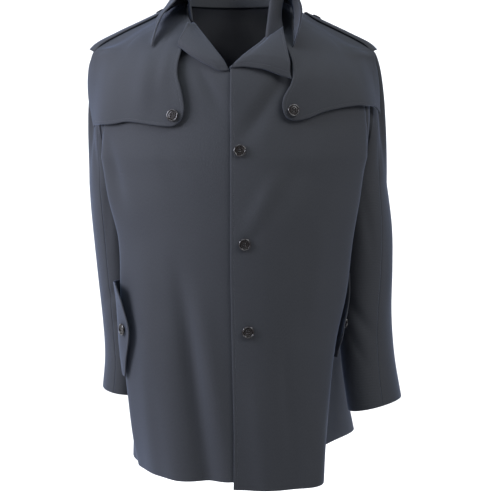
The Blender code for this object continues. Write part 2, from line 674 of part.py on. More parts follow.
def collar_section(side, step):
    """The points across the collar at one place: up the stand, over the fold and down the leaf."""
    height, lean, roll, belly, edge_u, edge_z = (
        smooth_column(COLLAR[side], k, step) for k in range(1, 7)
    )
    sign = own_sign(side)
    if step < 3:
        z = ([NECK_END[side]] + SHOULDER_ROWS[-3:])[step]
        u = inner_u(side, z)
    else:
        z = -0.004
        start = inner_u(side, z)
        u = start + (SIDE - start) * (step - 3) if step < 4 else SIDE + (step - 4) / 2
    seam = body_point(sign * u, z)
    out = Vector((seam.x, seam.y - 0.012, 0)).normalized()
    foot = seam - out * COLLAR_INSET + Vector((0, 0, 0.0005))
    top = foot + out * lean + Vector((0, 0, height))
    edge = body_point(sign * edge_u, edge_z)
    edge += outward(base_point, sign * edge_u, edge_z) * LEAF_LIFT
    across = Vector((edge.x - top.x, edge.y - top.y, 0)).normalized()
    shoulder = top + across * roll
    middle, crown = (top + shoulder) / 2, roll * 0.34
    points = [foot, foot.lerp(top, 0.35), foot.lerp(top, 0.7)]
    for angle in (180, 150, 115, 80, 45, 10):
        a = math.radians(angle)
        points.append(middle + across * (roll / 2) * math.cos(a) + Vector((0, 0, crown)) * math.sin(a))
    for share in (0.25, 0.5, 0.75, 1.0):
        points.append(shoulder.lerp(edge, share) + across * belly * math.sin(math.pi * share))
    return points


STAND_POINTS = 6  # how many of the section's points the stand takes, the leaf takes the rest


def grid_normals(rows):
    """The unit normals of a grid of points, from its neighbours both ways."""
    count, width = len(rows), len(rows[0])
    normals = []
    for j in range(count):
        facing = []
        for i in range(width):
            a = rows[j][min(i + 1, width - 1)] - rows[j][max(i - 1, 0)]
            b = rows[min(j + 1, count - 1)][i] - rows[max(j - 1, 0)][i]
            facing.append(a.cross(b).normalized())
        normals.append(facing)
    return normals


def make_collar():
    sections = [collar_section("right", k) for k in range(9)]
    sections += [collar_section("left", k) for k in range(7, -1, -1)]
    rows = [list(points) for points in zip(*sections)]
    normals = grid_normals(rows)
    leaf = rows[STAND_POINTS - 1:]
    leaf[0] = [a + (b - a).normalized() * SEAM for a, b in zip(leaf[0], leaf[1])]
    grid_wall("collar_stand", rows[:STAND_POINTS], DOUBLE, NAVY, normals[:STAND_POINTS])
    grid_wall("collar_leaf", leaf, DOUBLE, NAVY, normals[STAND_POINTS - 1:])


# The lapels, in the front view: where the roll line ends at the collar, the corner at the collar
# seam, and the free tip, each (x, z), with the lower edge's bow and the tip's distance outside.
LAPEL_COLUMNS = ("roll_end", "corner", "tip", "bow", "lift")
LAPELS = {
    "right": ((0.0655, -0.0415), (0.0700, -0.0480), (0.0860, -0.0800), -0.0090, 0.0165),
    "left": ((0.0500, -0.0740), (0.0800, -0.0630), (0.0950, -0.1335), 0.0050, 0.0175),
}


def make_lapel(side):
    """A lapel: a tight turn outward along the roll line, then the cloth lies back on the front."""
    row = dict(zip(LAPEL_COLUMNS, LAPELS[side]))
    sign = own_sign(side)
    grid = []
    low, high = BREAK[side], row["roll_end"][1]
    between = [z for z in panel_heights(side) if low + 0.003 < z < high - 0.003]
    for z in [low + 0.002] + between + [high]:
        v = (z - low) / (high - low)
        u = sign * inner_u(side, z)
        face = outward(body_point, u, z)
        roll = body_point(u, z) + face * front_lift(side, u, z)
        ahead = body_point(sign * inner_u(side, z + 0.004), z + 0.004)
        behind = body_point(sign * inner_u(side, z - 0.004), z - 0.004)
        along = (ahead - behind).normalized()
        open_way = face.cross(along).normalized() * sign
        turn = ((2 * SEAM, 0.0), (0.0028, 0.0009), (0.0036, 0.0034), (0.0024, 0.0058), (-0.0012, 0.0070))
        points = [roll + open_way * a + face * b for a, b in turn]
        x0, z0 = abs(roll.x), roll.z
        x1 = row["tip"][0] + (row["corner"][0] - row["tip"][0]) * v
        z1 = row["tip"][1] + (row["corner"][1] - row["tip"][1]) * v
        for r in (0.18, 0.36, 0.55, 0.78, 1.0):
            x, height = x0 + (x1 - x0) * r, z0 + (z1 - z0) * r
            height += row["bow"] * math.sin(math.pi * r) ** 0.7 * (1 - v)
            place = u_at_x(sign * x, height)
            away = outward(body_point, place, height)
            lift = 0.0078 + (row["lift"] - 0.0078) * r + front_lift(side, place, height)
            points.append(body_point(place, height) + away * lift)
        grid.append(points)
    return grid_wall("lapel_" + side, grid, DOUBLE, NAVY, grid_normals(grid))


# The buttons' turned profile, as shares of the radius and thickness, from the back middle out
# and round to the face's middle.
BUTTON_PROFILE = (
    (0.00, 0.00), (0.62, 0.00), (0.94, 0.30), (1.00, 0.60), (0.90, 1.00), (0.72, 0.90), (0.62, 0.60),
    (0.00, 0.56),
)
BUTTON_THICK = 0.0038
HOLE, HOLE_SPACING = 0.0019, 0.0033


def make_button_mesh():
    """One button: a turned disc with a raised rim and four holes, face up."""
    profile = bpy.data.meshes.new("button_profile")
    points = [(r * BUTTON / 2, 0, t * BUTTON_THICK) for r, t in BUTTON_PROFILE][::-1]
    profile.from_pydata(points, [(k, k + 1) for k in range(len(points) - 1)], [])
    blank = bpy.data.objects.new("button_blank", profile)
    cutters.objects.link(blank)
    screw = blank.modifiers.new("turn", "SCREW")
    screw.steps = screw.render_steps = 16
    screw.use_merge_vertices = True
    screw.merge_threshold = 0.00001
    mesh = bmesh.new()
    for x in (-1, 1):
        for y in (-1, 1):
            place = Matrix.Translation((x * HOLE_SPACING / 2, y * HOLE_SPACING / 2, BUTTON_THICK / 2))
            bmesh.ops.create_cone(
                mesh, cap_ends=True, segments=6, radius1=HOLE / 2, radius2=HOLE / 2,
                depth=3 * BUTTON_THICK, matrix=place,
            )
    data = bpy.data.meshes.new("button_holes")
    mesh.to_mesh(data)
    mesh.free()
    holes = bpy.data.objects.new("button_holes", data)
    cutters.objects.link(holes)
    for item in (blank, holes):
        item.hide_render = True
        item.display_type = "WIRE"
    cut = blank.modifiers.new("holes", "BOOLEAN")
    cut.operation = "DIFFERENCE"
    cut.object = holes
    finished = bpy.data.meshes.new_from_object(blank.evaluated_get(bpy.context.evaluated_depsgraph_get()))
    finished.name = "button"
    finished.shade_smooth()
    finished.set_sharp_from_angle(angle=math.radians(35))
    return finished


def add_button(name, mesh, place, face):
    """A button on the cloth: its back at the place, its face the way the cloth faces."""
    item = bpy.data.objects.new(name, mesh.copy())
    coat.objects.link(item)
    item.location = place
    item.rotation_mode = "QUATERNION"
    item.rotation_quaternion = face.to_track_quat("Z", "Y")
    paint(item, name, (0.012, 0.011, 0.011), 0.18)


FRONT_BUTTONS = ((0.0130, -0.247), (0.0203, -0.397), (0.0262, -0.540))  # x, z on the upper front
STORM_BUTTONS = {"right": (0.0925, -0.1905), "left": (0.0965, -0.1825)}
FLAP_BUTTONS = {"right": (-0.5560, 0.74), "left": (-0.5400, 0.76)}  # z, share of the flap's width
STRAP_BUTTON = {"right": -0.0335, "left": -0.0290}  # its height on the strap
# How far each kind of button's back lies above the smooth form of its cloth, so that it comes to
# one seam's gap above the flat facets.
SEAT = {"front": -0.0001, "storm": 0.0012, "pocket": 0.0012, "strap": 0.0004}


def make_buttons():
    mesh = make_button_mesh()
    for k, (x, z) in enumerate(FRONT_BUTTONS):
        u = u_at_x(x, z)
        face = outward(body_point, u, z)
        lift = front_lift("left", u, z) + CLOTH / 2 + SEAT["front"]
        add_button(f"front_button_{k + 1}", mesh, body_point(u, z) + face * lift, face)
    for side in ("right", "left"):
        x, z = STORM_BUTTONS[side]
        u = u_at_x(own_sign(side) * x, z)
        face = outward(body_point, u, z)
        first = storm_inner(side, z)
        last = front_places(side, z, first)[-1]
        lift = storm_lift(side, u, z, (abs(u) - first) / (last - first)) + DOUBLE / 2 + SEAT["storm"]
        add_button("storm_button_" + side, mesh, body_point(u, z) + face * lift, face)
        z, share = FLAP_BUTTONS[side]
        u, lift = flap_place(side, z, share)
        near_u, near_lift = flap_place(side, z, share - 0.1)
        here = body_point(u, z) + outward(base_point, u, z) * lift
        back = body_point(near_u, z) + outward(base_point, near_u, z) * near_lift
        face = ((here - back).cross(Vector((0, 0, 1))) * own_sign(side) * -1).normalized()
        add_button("pocket_button_" + side, mesh, here + face * (DOUBLE / 2 + SEAT["pocket"]), face)
        u = own_sign(side) * SIDE
        face = outward(base_point, u, STRAP_BUTTON[side])
        lift = STRAP_LIFT + DOUBLE / 2 + SEAT["strap"]
        place = base_point(u, STRAP_BUTTON[side]) + face * lift
        add_button("strap_button_" + side, mesh, place, face)


def add_collection(name):
    made = bpy.data.collections.new(name)
    bpy.context.scene.collection.children.link(made)
    return made


clear_scene()
coat = add_collection("overcoat")
cutters = add_collection("cutters")
for side in ("right", "left"):
    make_front(side)
    front_seam = FRONT_SEAM[side]
    make_sleeve(side, "under_sleeve", front_seam, HIND_SEAM)
    make_sleeve(side, "top_sleeve", HIND_SEAM, front_seam + 360)
    make_storm_flap(side)
    make_strap(side)
    make_pocket_flap(side)
    make_lapel(side)
make_back()
make_collar()
make_buttons()
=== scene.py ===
"""The looks of a short single-breasted overcoat in dark navy wool twill, in the hollow form it
keeps when it is worn. Front -Y, the wearer's left +X, heights measured down from the shoulder line.
"""

import math

import bmesh
import bpy
import numpy as np
from mathutils import Matrix, Vector


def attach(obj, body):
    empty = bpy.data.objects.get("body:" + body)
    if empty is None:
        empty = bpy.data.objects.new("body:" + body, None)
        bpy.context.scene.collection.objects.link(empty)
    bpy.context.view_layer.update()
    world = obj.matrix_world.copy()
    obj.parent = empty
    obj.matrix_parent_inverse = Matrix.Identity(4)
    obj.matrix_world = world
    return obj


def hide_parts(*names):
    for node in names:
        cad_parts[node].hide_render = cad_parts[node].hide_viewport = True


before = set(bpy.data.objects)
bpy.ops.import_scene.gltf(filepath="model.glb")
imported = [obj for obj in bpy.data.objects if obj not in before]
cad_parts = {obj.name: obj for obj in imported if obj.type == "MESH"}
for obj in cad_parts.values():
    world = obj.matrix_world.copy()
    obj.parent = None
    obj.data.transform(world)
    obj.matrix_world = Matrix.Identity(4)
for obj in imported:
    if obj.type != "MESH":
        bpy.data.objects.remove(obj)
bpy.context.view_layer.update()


# The back: one piece of wool twill between the side seams, the armholes and the shoulder seams,
# lined with satin. The coat's form and its folds are set out here, because it is cut first.

CLOTH = 0.0020  # one thickness of the coat's cloth with its lining
SEAM = 0.0003  # between two pieces that are sewn together
HEM, UNDERARM, SHOULDER_TIP, NECK_POINT = -0.8060, -0.2850, -0.0780, -0.0040
ARMHOLE_MIDDLE, ARMHOLE_HALF = (SHOULDER_TIP + UNDERARM) / 2, (SHOULDER_TIP - UNDERARM) / 2
ARMHOLE_FRONT, ARMHOLE_BACK = 0.80, 0.62  # how far the armhole bows out, in section steps
BACK_HEM_RISE, BACK_COLUMNS = 0.0160, 96
SIDE, AROUND = 4.0, 12  # the side seam and the whole way round, in section steps

SECTION_COLUMNS = (
    "z", "front", "flat", "back",
    "l_corner_x", "l_corner_y", "l_side_x", "l_side_y", "l_back_x", "l_back_y",
    "r_corner_x", "r_corner_y", "r_side_x", "r_side_y", "r_back_x", "r_back_y",
)
SECTIONS = (
    (-0.810, -0.178, 0.14, 0.187, 0.150, -0.082, 0.178, 0.000, 0.156, 0.132,
     0.148, -0.150, 0.149, 0.020, 0.228, 0.187),
    (-0.740, -0.177, 0.16, 0.174, 0.166, -0.080, 0.173, 0.006, 0.160, 0.124,
     0.152, -0.136, 0.150, 0.022, 0.212, 0.160),
    (-0.650, -0.176, 0.20, 0.160, 0.178, -0.080, 0.150, 0.030, 0.160, 0.124,
     0.160, -0.116, 0.156, 0.028, 0.196, 0.136),
    (-0.570, -0.175, 0.22, 0.150, 0.186, -0.081, 0.145, 0.035, 0.160, 0.122,
     0.170, -0.102, 0.163, 0.030, 0.188, 0.126),
    (-0.490, -0.173, 0.24, 0.143, 0.187, -0.082, 0.147, 0.035, 0.162, 0.122,
     0.188, -0.090, 0.166, 0.032, 0.184, 0.120),
    (-0.400, -0.170, 0.24, 0.141, 0.189, -0.082, 0.150, 0.033, 0.165, 0.121,
     0.199, -0.086, 0.163, 0.032, 0.184, 0.118),
    (-0.330, -0.166, 0.24, 0.146, 0.206, -0.080, 0.154, 0.031, 0.172, 0.118,
     0.211, -0.081, 0.160, 0.031, 0.187, 0.116),
    (-0.285, -0.163, 0.25, 0.151, 0.213, -0.077, 0.168, 0.028, 0.182, 0.115,
     0.217, -0.077, 0.170, 0.028, 0.190, 0.114),
    (-0.240, -0.159, 0.26, 0.154, 0.217, -0.078, 0.208, 0.022, 0.191, 0.112,
     0.224, -0.078, 0.216, 0.022, 0.194, 0.112),
    (-0.200, -0.154, 0.27, 0.155, 0.216, -0.078, 0.230, 0.016, 0.192, 0.111,
     0.226, -0.078, 0.239, 0.016, 0.195, 0.111),
    (-0.140, -0.146, 0.29, 0.149, 0.201, -0.078, 0.238, 0.008, 0.186, 0.108,
     0.211, -0.078, 0.245, 0.008, 0.188, 0.108),
    (-0.100, -0.133, 0.30, 0.138, 0.182, -0.074, 0.240, 0.004, 0.176, 0.102,
     0.184, -0.074, 0.243, 0.004, 0.178, 0.102),
    (-0.078, -0.118, 0.30, 0.127, 0.166, -0.067, 0.234, 0.002, 0.162, 0.094,
     0.167, -0.067, 0.236, 0.002, 0.164, 0.094),
    (-0.056, -0.099, 0.30, 0.114, 0.138, -0.058, 0.194, 0.002, 0.136, 0.081,
     0.138, -0.058, 0.194, 0.002, 0.136, 0.081),
    (-0.035, -0.081, 0.30, 0.101, 0.108, -0.048, 0.149, 0.002, 0.107, 0.068,
     0.108, -0.048, 0.149, 0.002, 0.107, 0.068),
    (-0.016, -0.067, 0.30, 0.089, 0.081, -0.037, 0.110, 0.004, 0.080, 0.057,
     0.081, -0.037, 0.110, 0.004, 0.080, 0.057),
    (0.000, -0.057, 0.30, 0.079, 0.060, -0.028, 0.080, 0.006, 0.060, 0.050,
     0.060, -0.028, 0.080, 0.006, 0.060, 0.050),
)
# Folds and creases: soft troughs (negative depth) and ridges from (x, z) down to (x, z). The first
# eleven are the large folds of the coat's form, the rest are the cloth's finer creases.
FOLD_COLUMNS = ("face", "top_x", "top_z", "low_x", "low_z", "half_width", "depth", "open_low")
FOLDS = (
    ("front", -0.094, -0.40, -0.038, -0.81, 0.017, -0.0125, 1),
    ("front", -0.060, -0.44, -0.004, -0.81, 0.018, 0.0055, 1),
    ("front", -0.150, -0.36, -0.122, -0.81, 0.022, 0.0055, 1),
    ("front", -0.060, -0.10, -0.008, -0.20, 0.011, -0.0050, 0),
    ("front", 0.098, -0.10, 0.008, -0.25, 0.014, -0.0060, 0),
    ("front", 0.078, -0.27, 0.020, -0.40, 0.012, 0.0035, 0),
    ("front", 0.080, -0.52, 0.108, -0.81, 0.016, -0.0050, 1),
    ("front", -0.214, -0.20, -0.180, -0.37, 0.012, -0.0060, 0),
    ("back", -0.090, -0.34, -0.070, -0.81, 0.026, -0.0090, 1),
    ("back", -0.020, -0.40, 0.014, -0.81, 0.026, 0.0070, 1),
    ("back", 0.080, -0.38, 0.110, -0.81, 0.028, -0.0110, 1),
    ("front", -0.120, -0.22, -0.070, -0.36, 0.014, -0.0012, 0),
    ("front", 0.120, -0.24, 0.070, -0.37, 0.013, -0.0014, 0),
    ("front", 0.046, -0.36, 0.020, -0.42, 0.006, -0.0010, 0),
    ("front", 0.150, -0.34, 0.128, -0.56, 0.016, 0.0020, 0),
    ("front", 0.034, -0.58, 0.052, -0.81, 0.011, 0.0016, 1),
    ("front", -0.140, -0.56, -0.112, -0.81, 0.010, -0.0020, 1),
    ("front", -0.118, -0.50, -0.086, -0.81, 0.012, 0.0020, 1),
    ("back", -0.150, -0.13, -0.100, -0.30, 0.016, -0.0030, 0),
    ("back", 0.156, -0.13, 0.104, -0.31, 0.017, -0.0034, 0),
    ("back", -0.046, -0.06, 0.004, -0.13, 0.011, -0.0016, 0),
    ("back", 0.056, -0.07, 0.014, -0.15, 0.012, -0.0014, 0),
    ("back", 0.030, -0.20, 0.070, -0.42, 0.020, 0.0024, 0),
    ("back", -0.130, -0.50, -0.136, -0.81, 0.014, 0.0030, 1),
    ("back", 0.150, -0.46, 0.160, -0.81, 0.015, 0.0034, 1),
    ("back", 0.048, -0.56, 0.060, -0.81, 0.010, -0.0022, 1),
)


def eased(t, start, leave, end, arrive):
    """Values from start to end at shares t of the way, leaving and arriving at these rates."""
    return ((2 * t**3 - 3 * t**2 + 1) * start + (t**3 - 2 * t**2 + t) * leave
            + (3 * t**2 - 2 * t**3) * end + (t**3 - t**2) * arrive)


def smooth_between(a, b, c, d, t):
    """Values from b to c at shares t, on the smooth curve that also runs through a and d."""
    return 0.5 * (2 * b + (c - a) * t + (2 * a - 5 * b + 4 * c - d) * t**2
                  + (3 * b - 3 * c + d - a) * t**3)


NEIGHBOURS = (-1, 0, 1, 2)  # the four points that a smooth curve takes, counted from the one before


def along_table(rows, column, at):
    """A table's column at each place, on a smooth curve through its rows."""
    keys, values = (np.array([row[k] for row in rows], float) for k in (0, column))
    if keys[0] > keys[-1]:
        keys, values = keys[::-1], values[::-1]
    ahead, behind = np.r_[1:len(keys), len(keys) - 1], np.r_[0, 0:len(keys) - 1]
    slopes = (values[ahead] - values[behind]) / (keys[ahead] - keys[behind])
    at = np.clip(at, keys[0], keys[-1])
    k = np.clip(np.searchsorted(keys, at, side="right") - 1, 0, len(keys) - 2)
    step = keys[k + 1] - keys[k]
    t = (at - keys[k]) / step
    return eased(t, values[k], step * slopes[k], values[k + 1], step * slopes[k + 1])


CHEST_OUT = 0.56  # the point between the middle and the corner, as a share of the corner's x
ARM_OUT, ARM_BACK = 0.40, 0.36  # the point between the corner and the side, as shares of the way


def section_form(u, z):
    """Points on the smooth curves through the sections: u steps round at height z."""
    at = {name: along_table(SECTIONS, k, z) for k, name in enumerate(SECTION_COLUMNS) if k}
    ring = np.zeros(z.shape + (AROUND, 2))
    ring[..., 0, 1], ring[..., AROUND // 2, 1] = at["front"], at["back"]
    for half, sign in (("r_", 1), ("l_", -1)):
        corner_x, corner_y = at[half + "corner_x"], at[half + "corner_y"]
        side_x, side_y = at[half + "side_x"], at[half + "side_y"]
        places = (
            (CHEST_OUT * corner_x, at["front"] + at["flat"] * (corner_y - at["front"])),
            (corner_x, corner_y),
            (corner_x + ARM_OUT * (side_x - corner_x), corner_y + ARM_BACK * (side_y - corner_y)),
            (side_x, side_y),
            (at[half + "back_x"], at[half + "back_y"]),
        )
        for k, (x, y) in enumerate(places, 1):
            ring[..., sign * k % AROUND, 0] = sign * x
            ring[..., sign * k % AROUND, 1] = y
    k = np.floor(u).astype(int)
    around = (
        np.take_along_axis(ring, ((k + j) % AROUND)[..., None, None], axis=-2)[..., 0, :]
        for j in NEIGHBOURS
    )
    return np.concatenate([smooth_between(*around, (u - k)[..., None]), z[..., None]], axis=-1)


def unit(v):
    return v / np.maximum(np.linalg.norm(v, axis=-1, keepdims=True), 1e-12)


def ramp(value, start, length):
    """0 up to the start, 1 from this length further on, and even in between."""
    return np.clip((value - start) / length, 0, 1)


# A fold widens downward from its top, swells and fades along its length, and may run on at the hem.
FOLD_TOP, FOLD_SPREAD, FOLD_FADE, FOLD_END = 0.8, 0.5, 1.5, 1.2


def fold_depth(place):
    """How far the folds move the cloth outward at places on the form."""
    x, y, z = np.moveaxis(place, -1, 0)
    total = np.zeros(x.shape)
    for fold in FOLDS:
        row = dict(zip(FOLD_COLUMNS, fold))
        along = (row["top_z"] - z) / (row["top_z"] - row["low_z"])
        centre = row["top_x"] + (row["low_x"] - row["top_x"]) * along
        width = row["half_width"] * (FOLD_TOP + FOLD_SPREAD * np.maximum(along, 0))
        fade = np.sin(np.clip(along, 0, 0.5 if row["open_low"] else 1.0) * math.pi) ** FOLD_FADE
        here = ((y < 0) == (row["face"] == "front")) & (along > 0) & (along < FOLD_END)
        total += np.where(here, row["depth"] * fade * np.exp(-(((x - centre) / width) ** 2)), 0)
    return total


def chart_facing(chart):
    """The outward unit normals of a chart of points, which runs round and closes."""
    across = np.roll(chart, -1, axis=1) - np.roll(chart, 1, axis=1)
    return unit(np.cross(across, np.gradient(chart, axis=0)))


def blurred(chart, step_width, row_width):
    """A chart smoothed round the sections and up the rows, by widths in chart cells."""
    def weights(width):
        k = np.arange(-int(3 * width), int(3 * width) + 1)
        w = np.exp(-0.5 * (k / width) ** 2)
        return k, w / w.sum()
    smooth = sum(w * np.roll(chart, k, axis=1) for k, w in zip(*weights(step_width)))
    rows = np.arange(len(chart))
    return sum(w * smooth[np.clip(rows + k, 0, len(rows) - 1)] for k, w in zip(*weights(row_width)))


# The form and the cloth are charted once, every 0.04 steps round and 2.5 mm up, and read from there.
CHART_STEP, CHART_RISE, CHART_LOW, CHART_ROWS = 0.04, 0.0025, -0.8350, 337
chart_u, chart_z = np.meshgrid(np.arange(0, AROUND - 0.001, CHART_STEP),
                               CHART_LOW + CHART_RISE * np.arange(CHART_ROWS))
form_chart = section_form(chart_u, chart_z)
# Pressed cloth rounds the chest and shoulder evenly, where the sections alone would leave a ridge:
# from 0.26 m below the shoulder line up to the neck, and from the middle of the front to the side.
from_middle = np.minimum(chart_u, AROUND - chart_u)
reach = 3.75 + 0.8 * ramp(-chart_z, 0.085, 0.02)
ease = ramp(chart_z, -0.26, 0.06) * ramp(-chart_z, 0.012, 0.03)
ease *= ramp(from_middle, 0, 0.8) * ramp(reach - from_middle, 0, 0.6)
lift = ((blurred(form_chart, 13, 9) - form_chart) * chart_facing(form_chart)).sum(-1)
form_chart = form_chart + chart_facing(form_chart) * (ease * lift)[..., None]
form_facing_chart = chart_facing(form_chart)
cloth_chart = form_chart + form_facing_chart * fold_depth(form_chart)[..., None]
cloth_facing_chart = chart_facing(cloth_chart)


def read_chart(chart, u, z):
    """A chart's smooth value at u steps round and height z."""
    u, z = np.broadcast_arrays(np.asarray(u, float), np.asarray(z, float))
    columns, rows = u / CHART_STEP, (z - CHART_LOW) / CHART_RISE
    i, j = np.floor(columns).astype(int), np.floor(rows).astype(int)
    strips = []
    for up in NEIGHBOURS:
        row = np.clip(j + up, 0, len(chart) - 1)
        four = (chart[row, (i + across) % chart.shape[1]] for across in NEIGHBOURS)
        strips.append(smooth_between(*four, (columns - i)[..., None]))
    return smooth_between(*strips, (rows - j)[..., None])


def form(u, z):
    """The coat's form without folds."""
    return read_chart(form_chart, u, z)


def body(u, z):
    """The coat's cloth, folds and all, midway through its thickness."""
    return read_chart(cloth_chart, u, z)


def form_facing(u, z):
    return unit(read_chart(form_facing_chart, u, z))


def cloth_facing(u, z):
    return unit(read_chart(cloth_facing_chart, u, z))


def armhole_reach(z, bow):
    """How far from the side seam the armhole's edge lies at each height, in section steps."""
    away = (z - ARMHOLE_MIDDLE) / ARMHOLE_HALF
    return bow * np.sqrt(np.maximum(1 - away * away, 0))


def speed(surface, u, z):
    """Metres for each step of u."""
    return np.linalg.norm(surface(u + 0.01, z) - surface(u - 0.01, z), axis=-1) / 0.02


# A cloth edge is pressed flat: distances in from it, and the share of the thickness there.
PRESSED = np.array(((0.0, 0.30), (0.0006, 0.74), (0.0015, 0.96), (0.0030, 1.0)))


def places_between(start, end, start_speed, end_speed, count, edges=(PRESSED, PRESSED), crowd=1.0):
    """The columns of rows of cloth between two edges: at set distances from each edge, and evenly
    in between. Gives the places and each column's share of the thickness."""
    room = np.abs(end - start) * (start_speed + end_speed) / 2
    first, last = edges
    way = np.sign(end - start) * np.minimum(1, 0.7 * room / (first[-1, 0] + last[-1, 0]))
    head = start[:, None] + way[:, None] * first[:, 0] / start_speed[:, None]
    tail = end[:, None] - way[:, None] * last[::-1, 0] / end_speed[:, None]
    t = np.linspace(0, 1, count)[1:-1] ** np.reshape(crowd, (-1, 1))
    middle = head[:, -1:] + (tail[:, :1] - head[:, -1:]) * t
    share = np.concatenate([first[:, 1], np.ones(count - 2), last[::-1, 1]])
    return np.hstack([head, middle, tail]), share


SKIRT_ROWS = 104


def body_heights(turn=NECK_POINT, armhole=46, shoulder=15):
    """The rows of a front or the back and their share of the thickness: pressed at the hem and the
    neck, close together at the armhole's ends, and with a row where the lapel turns."""
    angles = np.linspace(0, math.pi, armhole)
    pressed, top = HEM + PRESSED[:, 0], NECK_POINT - PRESSED[::-1, 0]
    heights = np.concatenate([
        pressed, np.linspace(pressed[-1], UNDERARM, SKIRT_ROWS)[1:-1],
        ARMHOLE_MIDDLE - ARMHOLE_HALF * np.cos(angles),
        np.linspace(SHOULDER_TIP, top[0], shoulder)[1:-1], top,
    ])
    if np.abs(heights - turn).min() > 0.0004:
        heights = np.sort(np.append(heights, turn))
    shares = np.ones(len(heights))
    for distance, share in PRESSED:
        shares[np.abs(heights - HEM - distance) < 1e-6] = share
        shares[np.abs(NECK_POINT - heights - distance) < 1e-6] = share
    return heights, shares


def colour(code):
    """An sRGB hex colour as the linear values that a shader takes."""
    parts = [int(code[k:k + 2], 16) / 255 for k in (0, 2, 4)]
    return (*[c / 12.92 if c <= 0.04045 else ((c + 0.055) / 1.055) ** 2.4 for c in parts], 1.0)


def add_node(tree, kind, links=(), **settings):
    """A node with its settings and its inputs' values, and links of (input, from node, output)."""
    node = tree.nodes.new(kind)
    for name, value in settings.pop("values", {}).items():
        node.inputs[name].default_value = value
    for name, value in settings.items():
        setattr(node, name, value)
    for socket, source, output in links:
        tree.links.new(source.outputs[output], node.inputs[socket])
    return node


def new_material(name, values):
    """A material whose shader has these values; gives the material, its tree and its shader."""
    material = bpy.data.materials.new(name)
    material.use_nodes = True
    tree = material.node_tree
    tree.nodes.clear()
    shader = add_node(tree, "ShaderNodeBsdfPrincipled", values=values)
    add_node(tree, "ShaderNodeOutputMaterial", [("Surface", shader, "BSDF")])
    return material, tree, shader


def two_tone(tree, noise, dark, light):
    """A colour that wavers between two shades with a noise."""
    mix = add_node(tree, "ShaderNodeMix", [("Factor", noise, "Fac")], data_type="RGBA")
    mix.inputs[6].default_value, mix.inputs[7].default_value = colour(dark), colour(light)
    return mix


def wool_twill_material():
    """Fine wool twill, piece-dyed dark navy and pressed: matt, with steep fine ribs, a short nap
    that goes bluish grey where it is seen from the side, and a faint unevenness in the dye."""
    material, tree, shader = new_material("wool_twill_dark_navy", {
        "Roughness": 0.82, "Sheen Weight": 0.28, "Sheen Roughness": 0.42, "Sheen Tint": colour("A6B9E4"),
        "Specular IOR Level": 0.28})
    uv = add_node(tree, "ShaderNodeUVMap", uv_map="cloth")
    # The real ribs are 0.7 mm apart, under half a pixel here, so they are drawn 2.1 mm apart.
    ribs = add_node(tree, "ShaderNodeMapping", [("Vector", uv, "UV")], values={
        "Rotation": (0, 0, math.radians(-27)), "Scale": (1 / 0.0021, 1 / 0.0021, 1)})
    wave = add_node(tree, "ShaderNodeTexWave", [("Vector", ribs, "Vector")], wave_profile="SIN",
                    values={"Scale": 1 / 3.1831, "Distortion": 1.2, "Detail": 2.0, "Detail Scale": 0.6})
    yarn = add_node(tree, "ShaderNodeMapping", [("Vector", uv, "UV")],
                    values={"Scale": (1 / 0.0014, 1 / 0.0034, 1)})
    slub = add_node(tree, "ShaderNodeTexNoise", [("Vector", yarn, "Vector")],
                    values={"Scale": 1.0, "Detail": 2.0, "Roughness": 0.6})
    dye = add_node(tree, "ShaderNodeTexNoise", [("Vector", uv, "UV")],
                   values={"Scale": 9.0, "Detail": 2.0, "Roughness": 0.5})
    tone = two_tone(tree, slub, "252628", "343538")
    shade = add_node(tree, "ShaderNodeMix", [("Factor", dye, "Fac"), (6, tone, 2)], data_type="RGBA",
                     blend_type="MULTIPLY")
    shade.inputs[7].default_value = colour("E8E9EC")
    tree.links.new(shade.outputs[2], shader.inputs["Base Color"])
    height = add_node(tree, "ShaderNodeMath", [(0, wave, "Fac"), (1, slub, "Fac")], operation="ADD")
    bump = add_node(tree, "ShaderNodeBump", [("Height", height, "Value")],
                    values={"Strength": 0.25, "Distance": 0.00035})
    tree.links.new(bump.outputs["Normal"], shader.inputs["Normal"])
    return material


def satin_lining_material():
    """Viscose satin lining in near-black navy: smooth, long weft floats that give it a soft shine."""
    material, tree, shader = new_material("viscose_satin_lining", {
        "Roughness": 0.42, "Anisotropic": 0.4, "Sheen Weight": 0.1})
    uv = add_node(tree, "ShaderNodeUVMap", uv_map="cloth")
    floats = add_node(tree, "ShaderNodeMapping", [("Vector", uv, "UV")],
                      values={"Scale": (1 / 0.012, 1 / 0.0012, 1)})
    threads = add_node(tree, "ShaderNodeTexNoise", [("Vector", floats, "Vector")],
                       values={"Scale": 1.0, "Detail": 1.0})
    ramp = two_tone(tree, threads, "181A22", "20232D")
    tree.links.new(ramp.outputs[2], shader.inputs["Base Color"])
    return material


wool_twill, satin_lining = wool_twill_material(), satin_lining_material()


def grid_normals(grid):
    """The unit normals of a grid of points, from its neighbours both ways."""
    across, up = np.gradient(grid, axis=1), np.gradient(grid, axis=0)
    return unit(np.cross(across, up))


stitch_lines = {}  # each piece's points and the way to its outer face, for its stitching further down


